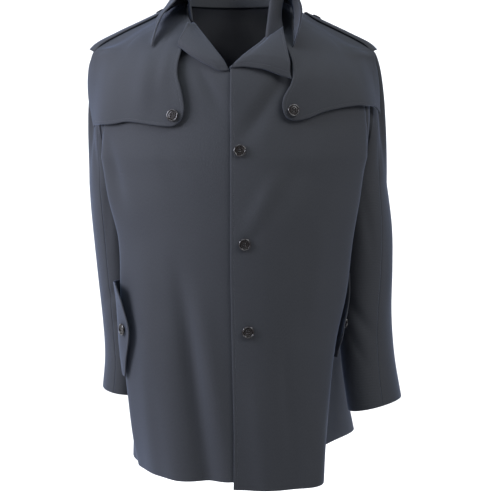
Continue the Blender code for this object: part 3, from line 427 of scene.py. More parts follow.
def cloth_wall(name, grid, thickness, shares, facing=None, lined=True):
    """A piece of cloth: a closed wall through a grid of points midway through its thickness,
    thinner at its pressed edges, with the lengths along the cloth as its UV map, in metres."""
    normals = grid_normals(grid)
    turned = facing is not None and (normals * facing).sum() < 0
    if turned:
        grid, normals, shares = grid[:, ::-1], -normals[:, ::-1], shares[:, ::-1]
    rows, columns = grid.shape[:2]
    half = normals * (thickness / 2 * shares)[..., None]
    stitch_lines[name] = [points[:, ::-1] if turned else points for points in (grid, half)]
    points = np.concatenate([(grid + half).reshape(-1, 3), (grid - half).reshape(-1, 3)])
    index = np.arange(rows * columns).reshape(rows, columns)
    a, b, c, d = (x.ravel() for x in (index[:-1, :-1], index[:-1, 1:], index[1:, 1:], index[1:, :-1]))
    outer, inner = np.stack([a, b, c, d], 1), np.stack([a, d, c, b], 1) + rows * columns
    border = np.concatenate([index[0, :-1], index[:-1, -1], index[-1, :0:-1], index[:0:-1, 0]])
    ahead = np.roll(border, -1)
    rim = np.stack([border, border + rows * columns, ahead + rows * columns, ahead], 1)
    faces = np.concatenate([outer, inner, rim])
    mesh = bpy.data.meshes.new(name)
    mesh.from_pydata(points.tolist(), [], faces.tolist())
    along = np.linalg.norm(np.diff(grid, axis=1), axis=-1).cumsum(axis=1)
    up = np.linalg.norm(np.diff(grid, axis=0), axis=-1).cumsum(axis=0)
    uv = np.zeros((rows, columns, 2))
    uv[:, 1:, 0] = along
    uv[..., 0] -= uv[..., 0].mean(axis=1, keepdims=True)
    uv[1:, :, 1] = up
    uv = np.tile(uv.reshape(-1, 2), (2, 1))
    corner = np.empty(len(mesh.loops), int)
    mesh.loops.foreach_get("vertex_index", corner)
    mesh.uv_layers.new(name="cloth").data.foreach_set("uv", uv[corner].ravel())
    mesh.materials.append(wool_twill)
    if lined:
        mesh.materials.append(satin_lining)
        which = np.zeros(len(faces), int)
        which[len(outer):2 * len(outer)] = 1
        mesh.polygons.foreach_set("material_index", which)
    mesh.shade_smooth()
    piece = bpy.data.objects.new(name, mesh)
    bpy.context.collection.objects.link(piece)
    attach(piece, "root")
    return piece


heights, row_shares = body_heights()
reach = armhole_reach(heights, ARMHOLE_BACK)
start, end = SIDE + reach, AROUND - SIDE - reach
start_speed, end_speed = speed(form, start, heights), speed(form, end, heights)
places, column_shares = places_between(start, end, start_speed, end_speed, BACK_COLUMNS)
hem_rise = (np.maximum((UNDERARM - heights) / (UNDERARM - HEM), 0) ** 3 * BACK_HEM_RISE)[:, None]
levels = heights[:, None] + hem_rise + 0 * places
back = cloth_wall("coat_back", body(places, levels), CLOTH, row_shares[:, None] * column_shares,
                  facing=form_facing(places, levels))
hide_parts("back")


# The fronts: two pieces of the same twill. The wearer's left one laps over the right; both turn
# outward at the break into the lapels, and end at the neck seam.

LAP_SLANT, LAP_EDGE, UNDERLAP, LAP_LIFT, UNDERLAP_RISE = 0.0047, -0.0022, 0.0450, 0.0042, 0.0180
HEM_CORNER_RISE, HEM_SAG, FRONT_COLUMNS = 0.0045, 0.0070, 62
BREAK = {"right": -0.1140, "left": -0.1158}  # where each front's lapel begins to roll
NECKLINES = {
    "right": ((BREAK["right"], 0.0085), (-0.075, 0.0385), (-0.037, 0.0680), (-0.020, 0.0765),
              (-0.004, 0.0770)),
    "left": ((BREAK["left"], LAP_EDGE), (-0.092, 0.0285), (-0.072, 0.0530), (-0.045, 0.0695),
             (-0.020, 0.0765), (-0.004, 0.0770)),
}
# A stitched edge swells a little between its edge and the stitching, 5.5 mm in.
STITCHED = np.array((
    (0.0, 0.30), (0.0006, 0.76), (0.0015, 1.0), (0.0032, 1.07), (0.0046, 0.98), (0.0055, 0.84),
    (0.0066, 0.97), (0.0080, 1.0),
))
STITCH_INSET = 0.0055


def own_sign(side):
    """The wearer's right is -X and left is +X."""
    return -1 if side == "right" else 1


def halved(low, high, short, times):
    """The places between low and high up to which short holds, found by halving."""
    for _ in range(times):
        middle = (low + high) / 2
        below = short(middle)
        low, high = np.where(below, middle, low), np.where(below, high, middle)
    return low


def u_at_x(x, z):
    """The places round the front of the section at heights z whose x is this, on either half."""
    x, z = np.broadcast_arrays(np.asarray(x, float), np.asarray(z, float))
    sign = np.where(x >= 0, 1, -1)
    return sign * halved(np.zeros(x.shape), np.full(x.shape, SIDE),
                         lambda u: np.abs(form(sign * u, z)[..., 0]) < np.abs(x), 26)


def front_lift(side, u, z):
    """The upper front stands outside the lower one where they lap, and eases back beyond."""
    if side == "right":
        return np.zeros(np.broadcast(u, z).shape)
    return LAP_LIFT * (1 - ramp(form(u, z)[..., 0], UNDERLAP + 0.01, 0.06))


def free_edge(side, z):
    """The free edge of a front at heights z, in steps from the middle."""
    sign, z = own_sign(side), np.asarray(z, float)
    neck = sign * u_at_x(sign * along_table(NECKLINES[side], 1, z), z)
    if side == "left":
        x = LAP_EDGE + LAP_SLANT * ramp(-z, 0.45, 0.25)
        return np.where(z > BREAK[side], neck, u_at_x(x, z))
    tuck = ramp(-z, -BREAK[side], 0.05)
    x = NECKLINES[side][0][1]
    return np.where(z > BREAK[side], neck, -u_at_x((UNDERLAP + x) * tuck - x, z))


def armhole_edge(side, z):
    """The outer edge of a front: the side seam, or the armhole."""
    inside = (z > UNDERARM) & (z < SHOULDER_TIP)
    return SIDE - np.where(inside, armhole_reach(z, ARMHOLE_FRONT), 0)


def front_cloth(side, u, z):
    """The outer front's cloth midway through its thickness, with its lift where it laps."""
    return body(u, z) + cloth_facing(u, z) * front_lift(side, u, z)[..., None]


for side in ("right", "left"):
    sign = own_sign(side)
    heights, row_shares = body_heights(BREAK[side])
    start, end = free_edge(side, heights), armhole_edge(side, heights)
    places, column_shares = places_between(
        start, end, speed(form, sign * start, heights), speed(form, sign * end, heights), FRONT_COLUMNS,
        (STITCHED, PRESSED),
    )
    t = (places - places[:, :1]) / (places[:, -1:] - places[:, :1])
    rise = np.maximum((UNDERARM - heights) / (UNDERARM - HEM), 0)[:, None] ** 3
    levels = heights[:, None] + rise * BACK_HEM_RISE * t
    if side == "right":
        levels += rise * UNDERLAP_RISE * (1 - t) ** 2
    else:
        levels += rise * (HEM_CORNER_RISE * (1 - t) ** 5 - HEM_SAG * np.sin(math.pi * t))
    front = cloth_wall("coat_front_" + side, front_cloth(side, sign * places, levels), CLOTH,
                       row_shares[:, None] * column_shares, facing=form_facing(sign * places, levels))
    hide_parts("front_" + side)
    width, cut = {"right": (0.41, 0.283), "left": (0.38, 0.260)}[side]


# The sleeves: two pieces each, a top sleeve and an under sleeve of the same twill, sewn together
# before and behind the arm and set into the armhole with a little ease at the shoulder.

# Rings down each sleeve: height, its middle's x and y, half its width and depth, turn in degrees,
# and how much higher its outer side stands.
SLEEVES = {
    "right": (
        (-0.310, 0.2105, 0.036, 0.0420, 0.0660, 0, 0.000),
        (-0.360, 0.2065, 0.038, 0.0435, 0.0660, 0, 0.000),
        (-0.460, 0.1995, 0.042, 0.0425, 0.0640, 0, 0.000),
        (-0.560, 0.1925, 0.040, 0.0400, 0.0620, 0, 0.002),
        (-0.620, 0.1905, 0.032, 0.0385, 0.0600, 2, 0.003),
        (-0.677, 0.1955, 0.024, 0.0375, 0.0590, 4, 0.004),
    ),
    "left": (
        (-0.310, 0.2235, 0.034, 0.0465, 0.0660, 0, 0.000),
        (-0.387, 0.2310, 0.030, 0.0475, 0.0670, 4, 0.000),
        (-0.460, 0.2335, 0.026, 0.0470, 0.0650, 8, 0.001),
        (-0.550, 0.2340, 0.016, 0.0455, 0.0630, 14, 0.003),
        (-0.620, 0.2385, 0.000, 0.0450, 0.0615, 18, 0.004),
        (-0.694, 0.2490, -0.022, 0.0440, 0.0610, 22, 0.011),
    ),
}
FRONT_SEAM, HIND_SEAM = {"right": 64, "left": 50.5}, 236  # degrees round the sleeve from outside
BODY_CLEAR, ARMHOLE_GAP, UNDERARM_EASE = 0.0050, CLOTH / 2 + SEAM, 0.0008
SLEEVE_RADIUS, SLEEVE_COLUMNS, SLEEVE_ROWS, HEAD_ROWS = 0.042, 50, 92, 44
METRES_A_DEGREE = math.radians(1.25 * SLEEVE_RADIUS)  # round the sleeve, which is deeper than wide
# How strongly the cloth keeps its way at the seam, how much less at the head, and on the chest's line.
PULL, HEAD_EASE, CHEST_PULL = 0.9, 0.5, 0.79
# Creases across and along the sleeves: from (degrees, z) to (degrees, z), half width and depth.
SLEEVE_CREASES = {
    "right": (
        (30, -0.20, 62, -0.30, 0.010, -0.0022), (86, -0.30, 70, -0.42, 0.011, -0.0020),
        (128, -0.47, 40, -0.52, 0.010, -0.0026), (112, -0.52, 60, -0.56, 0.008, -0.0016),
        (250, -0.48, 330, -0.53, 0.012, -0.0026), (262, -0.56, 318, -0.59, 0.010, -0.0018),
        (350, -0.30, 338, -0.46, 0.016, 0.0020), (290, -0.18, 262, -0.32, 0.012, -0.0030),
        (4, -0.10, 30, -0.185, 0.024, -0.0030),
    ),
    "left": (
        (24, -0.19, 58, -0.30, 0.011, -0.0022), (92, -0.32, 72, -0.43, 0.011, -0.0022),
        (132, -0.50, 58, -0.57, 0.011, -0.0034), (118, -0.56, 74, -0.62, 0.009, -0.0020),
        (246, -0.47, 328, -0.52, 0.013, -0.0028), (256, -0.57, 312, -0.60, 0.010, -0.0020),
        (6, -0.34, 20, -0.52, 0.016, 0.0018), (294, -0.18, 264, -0.33, 0.012, -0.0030),
    ),
}


def side_reach(side, y, z):
    """How far out the body's side reaches at this depth and height."""
    sign = own_sign(side)
    u = halved(np.ones(y.shape), np.full(y.shape, 5.0), lambda u: form(sign * u, z)[..., 1] < y, 20)
    return np.abs(form(sign * u, z)[..., 0])


def sleeve_ring(side, angle, z):
    """The sleeve below the armhole, 0 degrees outside, 90 in front; it hangs clear of the body."""
    x, y, half_x, half_y, turn, rise = (along_table(SLEEVES[side], k, z) for k in range(1, 7))
    a, t = np.radians(angle), np.radians(turn)
    dx, dy = half_x * np.cos(a), -half_y * np.sin(a)
    place = y - dx * np.sin(t) + dy * np.cos(t)
    out = np.maximum(x + dx * np.cos(t) + dy * np.sin(t), side_reach(side, place, z) + BODY_CLEAR)
    return np.stack([own_sign(side) * out, place, z + rise * np.cos(a)], axis=-1)


def sleeve_cloth(side, angle, s):
    """The sleeve from its armhole seam (s = 0) to the first whole ring (1) and the cuff (2)."""
    top, cuff = SLEEVES[side][0][0], SLEEVES[side][-1][0]
    sign = own_sign(side)
    ring = sleeve_ring(side, angle, top + (cuff - top) * np.maximum(s - 1, 0))
    sine, high = np.sin(np.radians(angle)), np.cos(np.radians(angle))
    z = ARMHOLE_MIDDLE + ARMHOLE_HALF * high
    u = sign * (SIDE + np.where(sine > 0, -ARMHOLE_FRONT, -ARMHOLE_BACK) * sine)
    start, face = body(u, z), cloth_facing(u, z)
    into = body(np.array(sign * SIDE), np.array(ARMHOLE_MIDDLE)) - start
    onward = unit(into - face * (into * face).sum(-1, keepdims=True))
    gap = ARMHOLE_GAP + UNDERARM_EASE * np.clip(-2 * high, 0, 1)
    start = start + onward * gap[..., None]
    length = np.linalg.norm(ring - start, axis=-1, keepdims=True)
    # The cloth leaves the seam outward and down, by these shares beside, above and under the arm;
    # in front it goes on from the chest.
    beside, above, under = (0.62, 0.50), {"right": (0.62, 0.48), "left": (0.75, 0.25)}[side], (0.90, 0.05)
    out, down = (mid + (np.where(high > 0, up, low) - mid) * np.abs(high)
                 for mid, up, low in zip(beside, above, under))
    leave = np.stack([sign * out, 0 * out, -down], -1)
    smooth = 0.6 * np.clip(1.4 * sine, 0, 1) * np.clip(high + 0.5, 0, 1)
    leave = leave + (onward * CHEST_PULL - leave) * smooth[..., None]
    leave = leave * length * (PULL - HEAD_EASE * np.maximum(high, 0))[..., None]
    arrive = np.array((0, 0, -1)) * length * PULL
    upper = eased(np.minimum(s, 1)[..., None], start, leave, ring, arrive)
    return np.where(s[..., None] < 1, upper, ring)


def crease(place, way, width, end):
    """The share of its depth that a crease has at places from its start, on its way to its end."""
    along = np.clip((place @ way) / (way @ way), 0, 1)
    away = np.linalg.norm(place - along[..., None] * way, axis=-1) / width
    return np.exp(-away * away) * np.sin(np.pi * np.clip(end + (1 - 2 * end) * along, 0, 1))


def creased(side, grid, normals, angle):
    """The sleeve's points with its creases pressed in, along its outward normals."""
    depth = np.zeros(angle.shape)
    for a0, z0, a1, z1, width, deep in SLEEVE_CREASES[side]:
        turn = (angle - a0 + 180) % 360 - 180
        place = np.stack([turn * METRES_A_DEGREE, grid[..., 2] - z0], -1)
        way = np.array([(a1 - a0) * METRES_A_DEGREE, z1 - z0])
        depth += deep * crease(place, way, width, 0.12)
    return grid + normals * depth[..., None]


for side in ("right", "left"):
    sign, front_seam = own_sign(side), FRONT_SEAM[side]
    for piece, first, last, cut, width in (
        ("under_sleeve", front_seam, HIND_SEAM, {"right": 0.071, "left": 0.085}[side], 0.22),
        ("top_sleeve", HIND_SEAM, front_seam + 360, 0.097, 0.28),
    ):
        s = np.concatenate([[0, 0.004, 0.012, 0.026], np.linspace(0.05, 1, HEAD_ROWS)[:-1],
                            np.linspace(1, 2, SLEEVE_ROWS)[:-1], [1.9918, 1.9959, 1.9984, 2]])
        row_shares = np.ones(len(s))
        row_shares[:4] = row_shares[:-5:-1] = PRESSED[:, 1]
        gap = np.where(s < 0.3, np.degrees(1.1 * SEAM / SLEEVE_RADIUS), 0.0)
        per_degree = np.full(len(s), METRES_A_DEGREE)
        angles, column_shares = places_between(first + gap, last - gap, per_degree, per_degree,
                                               SLEEVE_COLUMNS)
        rows = s[:, None] + 0 * angles
        grid = sleeve_cloth(side, angles, rows)
        normals = grid_normals(grid)
        normals *= np.sign((normals * (grid - grid.mean(axis=1, keepdims=True))).sum())
        grid = creased(side, grid, normals, angles)
        sleeve = cloth_wall(f"{piece}_{side}_cloth", grid, CLOTH, row_shares[:, None] * column_shares,
                            facing=normals)
        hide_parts(f"{piece}_{side}")


# The storm flaps: a turned and edge-stitched double layer over each side of the chest, caught in
# the shoulder and armhole seams and held by one button at its rounded inner tip.

DOUBLE = 0.0026  # turned and stitched pieces: flaps, straps, lapels, collar
# Each flap's free inner edge, as x at each height, and its lower edge, as the height at each x.
STORM_INNER = {
    "right": ((-0.215, 0.0745), (-0.178, 0.0745), (-0.151, 0.0785), (-0.126, 0.0845), (-0.105, 0.0840),
              (-0.085, 0.0800), (-0.060, 0.0745), (-0.035, 0.0665), (-0.020, 0.0765), (-0.004, 0.0775)),
    "left": ((-0.205, 0.0800), (-0.180, 0.0795), (-0.163, 0.0820), (-0.137, 0.0950), (-0.115, 0.0965),
             (-0.090, 0.0900), (-0.065, 0.0780), (-0.045, 0.0695), (-0.020, 0.0765), (-0.004, 0.0775)),
}
STORM_LOWER = {
    "right": ((0.0745, -0.177), (0.0775, -0.192), (0.0850, -0.203), (0.0965, -0.2085), (0.133, -0.2055),
              (0.158, -0.2020), (0.176, -0.2010), (0.195, -0.2035), (0.219, -0.2065), (0.240, -0.2140)),
    "left": ((0.0795, -0.178), (0.0830, -0.190), (0.0900, -0.1960), (0.0990, -0.1985), (0.118, -0.1960),
             (0.144, -0.1860), (0.167, -0.1800), (0.207, -0.1755), (0.225, -0.1745), (0.250, -0.1880)),
}
STORM_SEAM_LIFT, STORM_BULGE, STORM_LEVEL = CLOTH / 2 + SEAM + DOUBLE / 2, 0.0085, -0.160
STORM_COLUMNS, STORM_LOW = 40, -0.19
# The bulge's height and reach, how far the flap stands apart where it is wide, and its hang below.
BULGE_AT, BULGE_REACH, STORM_APART, STORM_WIDE, STORM_HANG = -0.125, 0.055, 0.0014, 0.2, 0.0022
# Soft folds of each flap itself: from (x, z) to (x, z), half width, depth; outward only.
STORM_FOLDS = {
    "right": ((0.100, -0.075, 0.112, -0.150, 0.009, 0.0020), (0.132, -0.085, 0.146, -0.185, 0.015, 0.0040),
              (0.119, -0.052, 0.131, -0.080, 0.0034, 0.0022), (0.106, -0.050, 0.118, -0.084, 0.0040, 0.0018)),
    "left": ((0.112, -0.080, 0.120, -0.150, 0.011, 0.0014), (0.150, -0.090, 0.170, -0.165, 0.014, 0.0018)),
}


def storm_edge(side, z):
    """A storm flap's free edge at height z, in section steps; near the collar it is the front's."""
    sign = own_sign(side)
    u = np.abs(u_at_x(sign * along_table(STORM_INNER[side], 1, z), z))
    return np.where(z > BREAK[side], np.maximum(u, free_edge(side, z)), u)


def storm_lift(side, u, z, across):
    """How far a storm flap's middle stands outside the front: across is 0 at its free edge."""
    bump = np.exp(-(((z - BULGE_AT) / BULGE_REACH) ** 2))
    free = STORM_BULGE * bump * (1 - across) ** 1.5
    apart = STORM_APART * np.minimum((storm_edge(side, z) - free_edge(side, z)) / STORM_WIDE, 1)
    lower = STORM_HANG * ramp(-z, 0.14, 0.06) * (1 - across**4)
    place = np.abs(form(u, z)[..., 0])
    own = np.zeros(place.shape)
    for x0, z0, x1, z1, width, deep in STORM_FOLDS[side]:
        way = np.array([x1 - x0, z1 - z0])
        own += deep * crease(np.stack([place - x0, z - z0], -1), way, width, 0.1)
    return STORM_SEAM_LIFT + front_lift(side, u, z) + free + apart * np.sqrt(1 - across) + lower + own


def storm_places(side, z):
    """The columns of rows of a storm flap at heights z, crowded to its tip below."""
    start, end = storm_edge(side, z), armhole_edge(side, z)
    sign = own_sign(side)
    crowd = 1 + 0.8 * ramp(-z, 0.06, 0.06)
    return places_between(start, end, speed(form, sign * start, z), speed(form, sign * end, z),
                          STORM_COLUMNS, (STITCHED, PRESSED), crowd)


# The flaps run on over the sleeve heads, by these lengths at each height; the corner hangs lower.
STORM_OVER = {
    "right": ((-0.230, 0.0040), (-0.214, 0.0060), (-0.190, 0.0240), (-0.165, 0.0430), (-0.130, 0.0500),
              (-0.105, 0.0400), (-0.090, 0.0200), (-0.078, 0.0060), (-0.060, 0.0030), (-0.004, 0.0030)),
    "left": ((-0.230, 0.0200), (-0.190, 0.0240), (-0.165, 0.0280), (-0.130, 0.0330), (-0.105, 0.0300),
             (-0.090, 0.0160), (-0.078, 0.0060), (-0.060, 0.0030), (-0.004, 0.0030)),
}
STORM_DIP = {"right": 0.004, "left": 0.012}
# The columns beyond the armhole: how far along each lies, and its share of the thickness.
OVER = np.array((
    (0.08, 1.0), (0.17, 1.0), (0.26, 1.0), (0.35, 1.0), (0.44, 1.0), (0.53, 1.0), (0.62, 1.0),
    (0.71, 1.0), (0.80, 1.0), (0.88, 1.0), (0.94, 0.96), (0.975, 0.74), (1.0, 0.30),
))
HEAD_PRESS = 0.0014  # the sleeve head is pressed in under the flap by this much
HEAD_POINTS, HEAD_BEHIND = 41, 25  # points of a level line round the sleeve head, and degrees behind
# The columns that are drawn taut over the armhole, and the taut line's points, rounding and clearance.
TAUT_COLUMNS, TAUT_POINTS, TAUT_ROUND, TAUT_CLEAR = 18, 97, 21, 0.0014


def taut(line, sign, near):
    """A level line over a hollow, pulled taut and rounded: its points and run, and where the run's
    first near points now lie along it, evenly spaced."""
    s, h = sign * line[:, 0] + line[:, 1], sign * line[:, 0] - line[:, 1]
    hull = []
    for x, y in sorted(zip(s, h)):
        while len(hull) > 1:
            (x0, y0), (x1, y1) = hull[-2:]
            if (x1 - x0) * (y - y1) < (y1 - y0) * (x - x1):
                break
            hull.pop()
        hull.append((x, y))
    at = np.linspace(hull[0][0], hull[-1][0], TAUT_POINTS)
    edge = np.interp(at, *zip(*hull))
    window = np.hanning(2 * TAUT_ROUND + 1)[1:-1]
    ends = 2 * edge[0] - edge[TAUT_ROUND - 1:0:-1], 2 * edge[-1] - edge[-2:-TAUT_ROUND - 1:-1]
    height = np.convolve(np.concatenate([ends[0], edge, ends[1]]), window / window.sum(), "valid")
    rising = np.sin(np.pi / 2 * np.clip(np.linspace(0, 2.6, TAUT_POINTS), 0, 1)) ** 2
    height += ((edge - height).max() + TAUT_CLEAR) * rising
    order = np.argsort(s)
    level = np.interp(at, s[order], line[order, 2])
    points = np.stack([sign * (at + height) / 2, (at - height) / 2, level], -1)
    run = np.concatenate([[0], np.linalg.norm(np.diff(points, axis=0), axis=-1).cumsum()])
    return points, run, np.linspace(0, np.interp(s[near - 1], at, run), near)


def over_sleeve_head(side, z, before):
    """The storm flap's columns before the armhole and beyond it at heights z: taut over the armhole
    seam and level round the sleeve head, or above it on past the shoulder seam."""
    sign = own_sign(side)
    length = along_table(STORM_OVER[side], 1, z)[:, None] * OVER[:, 0]
    inside = (z > UNDERARM) & (z < SHOULDER_TIP)
    high = np.clip((z - ARMHOLE_MIDDLE) / ARMHOLE_HALF, -1, 1)
    share = np.linspace(0, 1, HEAD_POINTS)
    angle = np.degrees(np.arccos(high))[:, None] * (1 - share) - HEAD_BEHIND * share
    down = halved(np.zeros(angle.shape), np.ones(angle.shape),
                  lambda s: sleeve_cloth(side, angle, s)[..., 2] > z[:, None], 18)
    path = sleeve_cloth(side, angle, down)
    face = grid_normals(path)
    face *= np.sign((face * (path - np.array((sign * 0.19, 0.02, -0.16)))).sum())
    path = path + face * (STORM_SEAM_LIFT - HEAD_PRESS * ramp(share, 0, 0.3))[:, None]
    rows = z[:, None] + 0 * length
    start = sign * SIDE + 0 * rows
    past = start + sign * length / speed(form, start, rows)
    beyond = body(past, rows) + cloth_facing(past, rows) * STORM_SEAM_LIFT
    near = before.copy()
    corner = STORM_DIP[side] * (1 - ramp(z, z.min(), 0.04))
    for k in np.flatnonzero(inside):
        points, run, place = taut(np.concatenate([before[k], path[k]]), sign, TAUT_COLUMNS)
        for into, want in ((near, place), (beyond, place[-1] + length[k])):
            into[k, :, :2] = np.stack([np.interp(want, run, points[:, j]) for j in (0, 1)], -1)
        beyond[k, :, 2] = np.interp(place[-1] + length[k], run, points[:, 2])
        beyond[k, :, 2] -= corner[k] * (length[k] / length[k, -1]) ** 2
    return np.concatenate([near, beyond], axis=1)


for side in ("right", "left"):
    sign = own_sign(side)
    column_shares = storm_places(side, np.array([STORM_LOW]))[1]
    columns = len(column_shares)
    low = np.full(columns, STORM_LOW)
    for _ in range(12):
        u = sign * np.diagonal(storm_places(side, low)[0])
        low = 0.4 * low + 0.6 * along_table(STORM_LOWER[side], 1, np.abs(form(u, low)[..., 0]))
    upper, upper_shares = body_heights(BREAK[side], armhole=58, shoulder=18)
    keep = upper > STORM_LEVEL
    upper, upper_shares = upper[keep], upper_shares[keep]
    insets = STITCHED[:, 0]
    levels = [low + inset * np.minimum(1, 0.5 * (STORM_LEVEL - low) / insets[-1]) for inset in insets]
    levels += [levels[-1] + (STORM_LEVEL - levels[-1]) * t for t in np.linspace(0, 1, 9)[1:]]
    levels = np.array(levels + [np.full(columns, z) for z in upper])
    places = np.array([np.diagonal(storm_places(side, row)[0]) for row in levels])
    row_shares = np.concatenate([STITCHED[:, 1], np.ones(8), upper_shares])
    across = (places - places[:, :1]) / (places[:, -1:] - places[:, :1])
    u = sign * places
    face = cloth_facing(u, levels)
    grid = body(u, levels) + face * storm_lift(side, u, levels, across)[..., None]
    # The pressed columns at the armhole give way to those that run on beyond it.
    kept = columns - len(PRESSED) - 1
    grid = grid[:, :kept]
    outer = over_sleeve_head(side, levels[:, -1], grid[:, -TAUT_COLUMNS:])
    for _ in range(4):
        outer[3:-1] = (outer[2:-2] + 2 * outer[3:-1] + outer[4:]) / 4
    grid = np.concatenate([grid[:, :-TAUT_COLUMNS], outer], axis=1)
    face = face[:, np.minimum(np.arange(grid.shape[1]), columns - 1)]
    column_shares = np.concatenate([column_shares[:kept], OVER[:, 1]])
    flap = cloth_wall("storm_flap_" + side + "_cloth", grid, DOUBLE,
                      np.minimum(row_shares[:, None], column_shares), facing=face, lined=False)
    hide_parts("storm_flap_" + side)
    width, cut = {"right": (0.26, 0.045), "left": (0.25, 0.042)}[side]


# The shoulder straps: a pointed tab of the twill, turned and edge-stitched, caught in the armhole
# seam at one end and buttoned down by the collar.

STRAP = {  # its half width at each height
    "right": ((SHOULDER_TIP, 0.0240), (-0.045, 0.0215), (-0.024, 0.0210), (-0.0165, 0.0150),
              (-0.0115, 0.0050)),
    "left": ((SHOULDER_TIP, 0.0240), (-0.045, 0.0215), (-0.034, 0.0210), (-0.0265, 0.0150),
             (-0.0215, 0.0050)),
}
STRAP_LIFT, STRAP_OVERHANG, STRAP_DROOP = STORM_SEAM_LIFT + DOUBLE + 5 * SEAM, 0.0085, 0.0012
STRAP_ROWS, STRAP_COLUMNS, POINT_CLOSE = 26, 14, 0.6  # the rows lie closer together at the point


def strap_cloth(side, t, z, over):
    """The strap's cloth: t from -1 to 1 across it, and over is how far past the armhole it runs."""
    u = own_sign(side) * SIDE
    half = along_table(STRAP[side], 1, z)
    across = u + own_sign(side) * t * half / speed(form, np.full(z.shape, u), z)
    grid = form(across, z) + form_facing(across, z) * STRAP_LIFT
    before, edge = grid[over[:, 0] == 0][-2:]
    over = over[..., None]
    beyond = edge + unit(edge - before) * over - np.array((0, 0, STRAP_DROOP)) * over / STRAP_OVERHANG
    return np.where(over > 0, beyond, grid)


for side in ("right", "left"):
    z = STRAP[side][-1][0] - STITCHED[:, 0] * POINT_CLOSE
    z = np.concatenate([z, np.linspace(z[-1], SHOULDER_TIP, STRAP_ROWS)[1:]])
    over = np.array([0.2, 0.4, 0.6, 0.8, 0.93, 1.0]) * STRAP_OVERHANG
    row_shares = np.concatenate([STITCHED[:, 1], np.ones(STRAP_ROWS + 2), PRESSED[2::-1, 1]])
    z, over = np.append(z, 0 * over + SHOULDER_TIP), np.append(0 * z, over)
    half = along_table(STRAP[side], 1, z)
    ones = np.ones(len(z))
    t, column_shares = places_between(-ones, ones, half, half, STRAP_COLUMNS, (STITCHED, STITCHED))
    grid = strap_cloth(side, t, z[:, None] + 0 * t, over[:, None] + 0 * t)
    strap = cloth_wall("shoulder_strap_" + side + "_cloth", grid, DOUBLE,
                       np.minimum(row_shares[:, None], column_shares), lined=False,
                       facing=np.broadcast_to((0.0, 0.0, 1.0), grid.shape))
    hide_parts("shoulder_strap_" + side)
    length, cut = {"right": (0.160, 0.0080), "left": (0.140, 0.0070)}[side]


# The pocket flaps: pointed, turned and edge-stitched, sewn upright over the pocket slits at the
# sides and buttoned to the front at the point.

FLAPS = {  # height, width there, and how far the free edge stands off
    "right": ((-0.632, 0.034, 0.004), (-0.604, 0.047, 0.007), (-0.552, 0.067, 0.011),
              (-0.512, 0.057, 0.015), (-0.470, 0.043, 0.021)),
    "left": ((-0.602, 0.034, 0.012), (-0.586, 0.042, 0.010), (-0.545, 0.058, 0.007),
             (-0.504, 0.050, 0.006), (-0.458, 0.038, 0.009)),
}
FLAP_SEWN_EDGE = {"right": 2.62, "left": 3.25}  # where it is sewn on, in section steps
FLAP_COLUMNS, FLAP_LOW_ROWS, FLAP_HIGH_ROWS, FLAP_WALK = 12, 12, 14, 61


def flap_place(side, z, share):
    """(u, lift) of a point of a pocket flap: share 0 at its sewn edge, 1 at its free edge."""
    width, proud = (along_table(FLAPS[side], k, z) for k in (1, 2))
    sign, sewn = own_sign(side), FLAP_SEWN_EDGE[side]
    steps = np.linspace(0, 1.2, FLAP_WALK)
    path = form(sign * (sewn - steps), z[..., None])
    run = np.zeros(path.shape[:-1])
    run[..., 1:] = np.linalg.norm(np.diff(path, axis=-2), axis=-1).cumsum(axis=-1)
    want = width * share
    k = np.clip((run < want[..., None]).sum(-1) - 1, 0, FLAP_WALK - 2)
    at, ahead = (np.take_along_axis(run, k[..., None] + j, -1)[..., 0] for j in (0, 1))
    u = sign * (sewn - steps[1] * (k + (want - at) / (ahead - at)))
    return u, CLOTH / 2 + SEAM + DOUBLE / 2 + proud * share**1.2


for side in ("right", "left"):
    low, high, point = FLAPS[side][0][0], FLAPS[side][-1][0], FLAPS[side][2][0]
    insets, stitched = STITCHED.T
    z = np.concatenate([
        low + insets, np.linspace(low + insets[-1], point, FLAP_LOW_ROWS)[1:-1],
        np.linspace(point, high - insets[-1], FLAP_HIGH_ROWS)[:-1], high - insets[::-1],
    ])
    ones = np.ones(len(z))
    width = along_table(FLAPS[side], 1, z)
    share, column_shares = places_between(0 * ones, ones, width, width, FLAP_COLUMNS,
                                          (PRESSED, STITCHED))
    row_shares = np.concatenate([stitched, np.ones(len(z) - 2 * len(stitched)), stitched[::-1]])
    levels = z[:, None] + 0 * share
    u, lift = flap_place(side, levels, share)
    face = form_facing(u, levels)
    grid = body(u, levels) + face * lift[..., None]
    flap = cloth_wall("pocket_flap_" + side + "_cloth", grid, DOUBLE,
                      np.minimum(row_shares[:, None], column_shares), facing=face, lined=False)
    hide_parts("pocket_flap_" + side)
    width, length, cut = {"right": (0.077, 0.174, 0.0104), "left": (0.063, 0.160, 0.0073)}[side]


# The collar: a stand that rises from the neck seam and a leaf that folds over it and falls to the
# shoulders, both double twill, higher and looser on the wearer's left than on the right.

